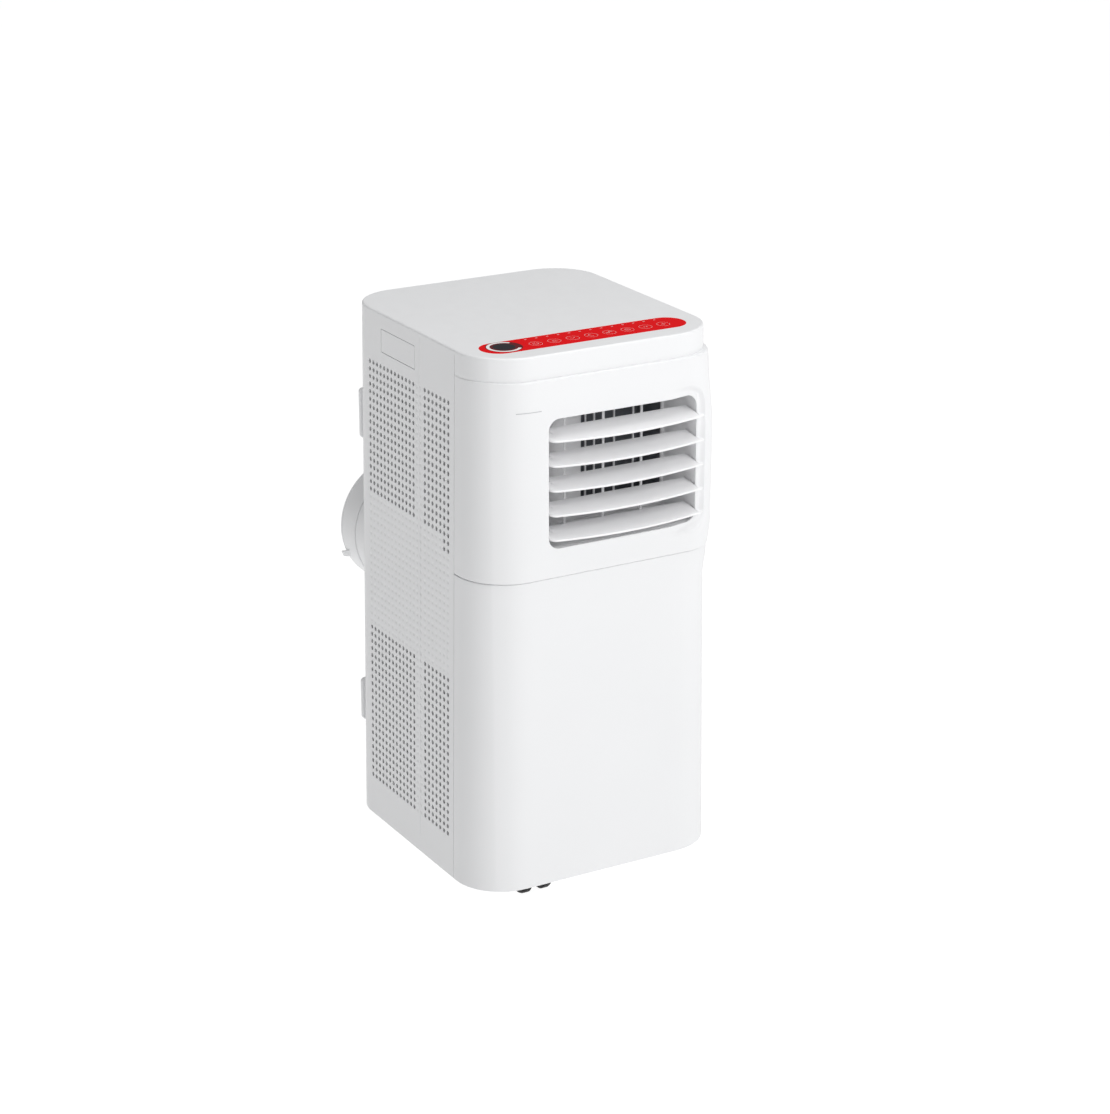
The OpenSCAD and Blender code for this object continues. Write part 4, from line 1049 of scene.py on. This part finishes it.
# Arm beside the notch, and the crank pin that it holds.
ARM_T = 2 * MM
ARM_Y = (5 * MM, 11 * MM)
ARM_Z = (-8 * MM, 0.4 * MM)
CRANK_Y = 8 * MM
CRANK_Z = -5 * MM
CRANK_R = 1.2 * MM


def blade_section(x, tail):
    """Closed outline of a blade at one place along its width."""
    nose = min(lip(x) + NOSE_R, tail - CHORD_MIN)
    chord = tail - nose
    line = []
    for t in steps(0, 1, 10):
        half = TAIL_R + (NOSE_R - TAIL_R) * t * t
        line.append((x, tail - chord * t, half + UPPER_CURVE * math.sin(math.pi * t)))
    line += [(x, nose + y, z) for y, z in arc(0, 0, NOSE_R, 90, 270, 8)[1:]]
    for t in steps(1, 0, 10)[1:]:
        half = TAIL_R + (NOSE_R - TAIL_R) * t * t
        line.append((x, tail - chord * t, -half + LOWER_CURVE * math.sin(math.pi * t)))
    return line


def blade(number):
    body = "louver_%d" % number
    name = "louver_blade_%d" % number
    pivot = Vector(JOINTS[body + "_tilt"]["pos_m"])
    s = Surface()
    slot_a = OUTLET_LEFT + LINK_X - NOTCH_W / 2 - pivot.x
    slot_b = slot_a + NOTCH_W
    stations = [(x, BLADE_TAIL) for x in (-BLADE_HALF, -BLADE_HALF + 0.6 * MM, slot_a)]
    stations += [(x, NOTCH_TAIL) for x in steps(slot_a, slot_b, 4)]
    stations += [(x, BLADE_TAIL) for x in steps(slot_b, BLADE_HALF, 40)]
    for t in steps(0, 1, 5):
        stations.append((BLADE_HALF + TIP_OUT * t, TIP_TAIL[0] + (TIP_TAIL[1] - TIP_TAIL[0]) * t))
    s.solid([blade_section(x, tail) for x, tail in stations])
    pin = BLADE_HALF + PIN_OUT
    s.rod((-pin, 0, 0), (-BLADE_HALF + PIN_IN, 0, 0), PIN_R)
    s.rod((BLADE_HALF - PIN_IN, 0, 0), (pin, 0, 0), PIN_R)
    s.box((slot_b, ARM_Y[0], ARM_Z[0]), (slot_b + ARM_T, ARM_Y[1], ARM_Z[1]))
    s.rod((slot_a + 1.5 * MM, CRANK_Y, CRANK_Z), (slot_b + ARM_T / 2, CRANK_Y, CRANK_Z), CRANK_R)
    place = Matrix.Translation(pivot) @ Matrix.Rotation(BLADE_TILT, 4, "X")
    # The blades' inner_white carries painted light, lighter than the shell's white.
    piece(name, s, body, "inner_white", [name], place=place)


# ---------- back ----------

EXHAUST = Vector(JOINTS["hose_adapter_twist"]["pos_m"])
TURN_STEPS = 128
GRILLE_GAP = 0.5 * MM
# Holes for the drain plugs and the cord gland.
BACK_HOLE_R = 7 * MM
BACK_HOLE_DEPTH = 10 * MM
# Exhaust: the air's bore, the hole in the wall, and the boss and neck that carry the hose collar.
EXHAUST_BORE = 73 * MM
EXHAUST_CUT = 77 * MM
NECK_R = 75.5 * MM
NECK_OUT = 8 * MM
BOSS_R = 82 * MM
BOSS_DEPTH = 30 * MM
BOSS_FACE = 0.4 * MM
NECK_EDGE = 0.8 * MM


def turned_back(y):
    """Places a turned shape on the exhaust's middle line, with its own Z pointing back, from y on."""
    return Matrix.Translation((EXHAUST.x, y, EXHAUST.z)) @ Matrix.Rotation(-math.pi / 2, 4, "X")


def rear_shell():
    s = Surface()
    right, left = rear_columns()
    # the seam cuts the corner's arc, so the flat side column is left out
    right, left = right[1:], left[:-1]
    heights = steps(GROUND_Z, TOP_Z - LID_T, 12)
    for side in (right, left):
        s.grid([[rear_point(c, z) for c in side] for z in heights])
    edge_right = [rear_point(right[-1], z) for z in heights]
    edge_left = [rear_point(left[0], z) for z in heights]
    loops = [edge_right + edge_left[::-1]]
    for node in ("upper_intake_grille", "lower_intake_grille"):
        a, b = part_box(node)
        x0, x1 = a.x - GRILLE_GAP, b.x + GRILLE_GAP
        z0, z1 = a.z - GRILLE_GAP, b.z + GRILLE_GAP
        loops.append([(x0, BACK_Y, z0), (x1, BACK_Y, z0), (x1, BACK_Y, z1), (x0, BACK_Y, z1)])
    s.fill(loops)
    bars = [cutter((EXHAUST.x, EXHAUST.z), EXHAUST_CUT, BOSS_DEPTH + WALL)]
    for node in ("upper_drain_plug", "lower_drain_plug", "cord_gland"):
        a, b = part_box(node)
        bars.append(cutter(((a.x + b.x) / 2, (a.z + b.z) / 2), BACK_HOLE_R, BACK_HOLE_DEPTH))
    piece("rear_shell", s, "root", "shell_white", ["rear_shell"], wall=WALL, bevel=0.3 * MM, cutters=bars)
    neck = Surface()
    edge = NECK_EDGE
    profile = [(BOSS_R, -BOSS_DEPTH), (BOSS_R, -BOSS_FACE - edge), (BOSS_R - edge, -BOSS_FACE),
               (NECK_R, -BOSS_FACE), (NECK_R, NECK_OUT - edge), (NECK_R - edge, NECK_OUT),
               (EXHAUST_BORE + edge, NECK_OUT), (EXHAUST_BORE, NECK_OUT - edge), (EXHAUST_BORE, -BOSS_DEPTH),
               (BOSS_R, -BOSS_DEPTH)]
    neck.lathe(profile, turned_back(BACK_Y), TURN_STEPS)
    piece("exhaust_neck", neck, "root", "shell_white")


# Intake grille: two columns of slots.
GRILLE_T = 2.4 * MM
GRILLE_R = 2 * MM
GRILLE_RIM = 9 * MM
SLOT_PITCH = 9.5 * MM
SLOT_X = 48 * MM
SLOT_HALF = 42 * MM
SLOT_H = 5.2 * MM
SLOT_R = 2.2 * MM


def grille(node):
    a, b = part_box(node)
    s = Surface()
    rows = int((b.z - a.z - 2 * GRILLE_RIM) / SLOT_PITCH)
    lines = [rounded_rectangle(a.x, a.z, b.x, b.z, GRILLE_R, 4)]
    for i in range(rows):
        z = a.z + GRILLE_RIM + i * SLOT_PITCH
        for cx in (-SLOT_X, SLOT_X):
            lines.append(rounded_rectangle(cx - SLOT_HALF, z, cx + SLOT_HALF, z + SLOT_H, SLOT_R, 5))
    s.fill([[(x, BACK_Y, z) for x, z in line] for line in lines])
    body = frame["nodes"][node]["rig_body"]
    piece(node, s, body, "shell_white", [node], wall=GRILLE_T, bevel=0.35 * MM)


# Hose collar: its radii, the depth of the sleeve on the neck, rounding, and the groove before its open end.
ADAPTER_R = 83 * MM
SOCKET_R = 79 * MM
SLEEVE_R = 76.2 * MM
SLEEVE_DEPTH = 8.6 * MM
ADAPTER_EDGE = 0.9 * MM
COLLAR_GROOVE = 1.0 * MM
# Snap lug's root and bent end: radius, distance from the collar's open end, half width, thickness.
LUG_ANGLE = 157
LUG_ROOT = (ADAPTER_R - 1.5 * MM, 15 * MM, 5 * MM, 3.2 * MM)
LUG_END = (ADAPTER_R + 5.7 * MM, 2.5 * MM, 3.8 * MM, 2 * MM)


def hose_adapter():
    a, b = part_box("hose_adapter")
    s = Surface()
    length = b.y - a.y
    place = turned_back(a.y)
    edge = ADAPTER_EDGE
    groove_r = ADAPTER_R - COLLAR_GROOVE
    profile = [(SLEEVE_R, 0), (ADAPTER_R - edge, 0), (ADAPTER_R, edge), (ADAPTER_R, length - 5 * MM),
               (groove_r, length - 4.4 * MM), (groove_r, length - 3.6 * MM), (ADAPTER_R, length - 3 * MM),
               (ADAPTER_R, length - edge), (ADAPTER_R - edge, length), (SOCKET_R + edge, length),
               (SOCKET_R, length - edge), (SOCKET_R, SLEEVE_DEPTH), (SLEEVE_R, SLEEVE_DEPTH), (SLEEVE_R, 0)]
    s.lathe(profile, place, TURN_STEPS)
    turn = place @ Matrix.Rotation(math.radians(LUG_ANGLE), 4, "Z")
    sections = []
    for t in steps(0, 1, 8):
        out = LUG_ROOT[0] + (LUG_END[0] - LUG_ROOT[0]) * smoothstep(0, 1, t)
        back, half, thick = [p + (q - p) * t for p, q in zip(LUG_ROOT[1:], LUG_END[1:])]
        r0, r1, along = out - thick / 2, out + thick / 2, length - back
        section = [(r0, -half, along), (r1, -half, along), (r1, half, along), (r0, half, along)]
        sections.append([turn @ Vector(c) for c in section])
    s.solid(sections)
    piece("hose_adapter", s, "hose_adapter", "shell_white", ["hose_adapter"], bevel=0.4 * MM)


# Cord hooks, in mm: underside of the neck, lower edge, upper edge and outer end of the plate.
HOOKS = [(496, 491, 556, 133), (150, 112, 169, 140)]
HOOK_NECK_X = (-118 * MM, -106 * MM)
HOOK_NECK_H = 16
HOOK_ROOT = 4 * MM
HOOK_PLATE_Y = (BACK_Y + 19 * MM, BACK_Y + 25 * MM)
HOOK_OVERLAP = 1 * MM
HOOK_R = 5 * MM


def cord_hooks():
    s = Surface()
    x0, x1 = HOOK_NECK_X
    neck_end = HOOK_PLATE_Y[0] + HOOK_OVERLAP
    for neck, bottom, top, outer in HOOKS:
        s.box((x0, BACK_Y - HOOK_ROOT, neck * MM), (x1, neck_end, (neck + HOOK_NECK_H) * MM))
        plate = rounded_rectangle(-outer * MM, bottom * MM, x1, top * MM, HOOK_R, 5)
        s.solid([[(x, y, z) for x, z in plate] for y in HOOK_PLATE_Y])
    piece("cord_hooks", s, "root", "shell_white", ["cord_hooks"], bevel=1.2 * MM, segments=3)


# ---------- casters ----------

CASTER_N = 4
# Twin wheels on both sides of the fork's body, and the fork's reach around the axle.
HUB_W = 13 * MM
WHEEL_W = 13 * MM
WHEEL_GAP = 0.5 * MM
AXLE_R = 3 * MM
FORK_REACH = 8 * MM
FORK_UP = 21 * MM
FORK_R = 6 * MM
STEM_R = (9 * MM, 5 * MM)
STEM_STEP_Z = 46 * MM
STEM_CHAMFER = 0.6 * MM


def caster(number):
    swivel = Vector(JOINTS["caster_%d_swivel" % number]["pos_m"])
    axle = Vector(JOINTS["caster_%d_roll" % number]["pos_m"])
    radius = axle.z
    start = HUB_W / 2 + WHEEL_GAP
    end = start + WHEEL_W
    # bore, tyre, raised rim, dished face and boss
    profile = [(3.2 * MM, start), (radius - 2 * MM, start), (radius, start + 2.2 * MM),
               (radius, end - 3.2 * MM), (radius - 1.1 * MM, end - 1 * MM), (radius - 3.4 * MM, end),
               (radius - 6 * MM, end), (radius - 7 * MM, end - 1.4 * MM), (5.5 * MM, end - 1.4 * MM),
               (4.6 * MM, end - 0.4 * MM), (0.01 * MM, end - 0.4 * MM)]
    wheels = Surface()
    for side in (-1, 1):
        turn = Matrix.Translation(axle) @ Matrix.Rotation(side * math.pi / 2, 4, "Y")
        wheels.lathe(profile, turn)
    reach = Vector((HUB_W / 2 + WHEEL_W - 1 * MM, 0, 0))
    wheels.rod(axle - reach, axle + reach, AXLE_R)
    name = "caster_wheels_%d" % number
    piece(name, wheels, "caster_roll_%d" % number, "black_plastic", [name])
    fork = Surface()
    y0, y1 = min(axle.y, swivel.y) - FORK_REACH, max(axle.y, swivel.y) + FORK_REACH
    side_view = rounded_rectangle(y0, radius - FORK_REACH, y1, radius + FORK_UP, FORK_R)
    sides = (swivel.x - HUB_W / 2, swivel.x + HUB_W / 2)
    fork.solid([[(x, y, z) for y, z in side_view] for x in sides])
    name = "caster_fork_%d" % number
    wide, narrow = STEM_R
    stem = [(wide, radius + FORK_UP - 1 * MM), (wide, STEM_STEP_Z), (narrow, STEM_STEP_Z + STEM_CHAMFER),
            (narrow, high(name).z)]
    rings = fork.lathe(stem, Matrix.Translation((swivel.x, swivel.y, 0)), 32)
    fork.cap(rings[-1])
    piece(name, fork, "caster_swivel_%d" % number, "black_plastic", [name], bevel=0.6 * MM)


# ---------- camera, floor and light ----------

CAMERA_PLACE = (-1.6142, -2.8822, 1.5604)
CAMERA_AZIMUTH = -29.85
CAMERA_ELEVATION = 19.85
CAMERA_LENS = 92.2
SENSOR = 36
CLIP_END = 200
FLOOR_HALF = 40
FLOOR_SHADE = 0.15

# Soft studio light: an even dome, a floor that glows and three lamps, each with place, edge length and power.
DOME = 0.2
FLOOR_GLOW = 0.97
LAMP_AIM = (0, 0, 0.35)
LAMPS = [
    ("key", (2.6, -4.4, 1.3), 2.6, 6),
    ("above", (0.2, -0.3, 3.6), 3.0, 57),
    ("high_front", (0.9, -3.2, 2.7), 1.8, 70),
]


def camera():
    data = bpy.data.cameras.new("camera")
    data.lens = CAMERA_LENS
    data.sensor_width = SENSOR
    data.clip_end = CLIP_END
    obj = add_object("camera", data)
    obj.location = CAMERA_PLACE
    obj.rotation_euler = (math.radians(90 - CAMERA_ELEVATION), 0, math.radians(CAMERA_AZIMUTH))
    bpy.context.scene.camera = obj


def floor():
    material, _, _, shader = node_material("floor")
    put(shader, {"Base Color": (FLOOR_SHADE, FLOOR_SHADE, FLOOR_SHADE, 1), "Roughness": 1.0,
                 "Specular IOR Level": 0.0, "Emission Color": (1, 1, 1, 1), "Emission Strength": FLOOR_GLOW})
    mesh = bpy.data.meshes.new("floor")
    h = FLOOR_HALF
    mesh.from_pydata([(-h, -h, 0), (h, -h, 0), (h, h, 0), (-h, h, 0)], [], [(0, 1, 2, 3)])
    mesh.materials.append(material)
    obj = add_object("floor", mesh)


def area_light(name, place, size, power):
    data = bpy.data.lights.new(name, "AREA")
    data.shape = "RECTANGLE"
    data.size = size
    data.size_y = size
    data.energy = power
    obj = add_object(name, data)
    obj.location = place
    obj.rotation_euler = (Vector(LAMP_AIM) - Vector(place)).to_track_quat("-Z", "Y").to_euler()


def lights():
    world = bpy.data.worlds.new("studio")
    bpy.context.scene.world = world
    world.use_nodes = True
    background = world.node_tree.nodes["Background"]
    put(background, {"Color": (1.0, 1.0, 1.0, 1), "Strength": DOME})
    for lamp in LAMPS:
        area_light(*lamp)
    bpy.context.scene.view_settings.view_transform = "Standard"


# ---------- assembly ----------

camera()
floor()
lights()
top_cover()
control_panel()
front_upper_shell()
front_lower_panel()
front_groove()
seam_backing()
fascia_backing()
side_panels()
handle_flap(-1, "handle_flap_left", "handle_left")
handle_flap(1, "handle_flap_right", "handle_right")
for number in range(1, BLADE_N + 1):
    blade(number)
rear_shell()
grille("upper_intake_grille")
grille("lower_intake_grille")
hose_adapter()
cord_hooks()
for number in range(1, CASTER_N + 1):
    caster(number)


def corners(box):
    return [list(corner) for corner in box]
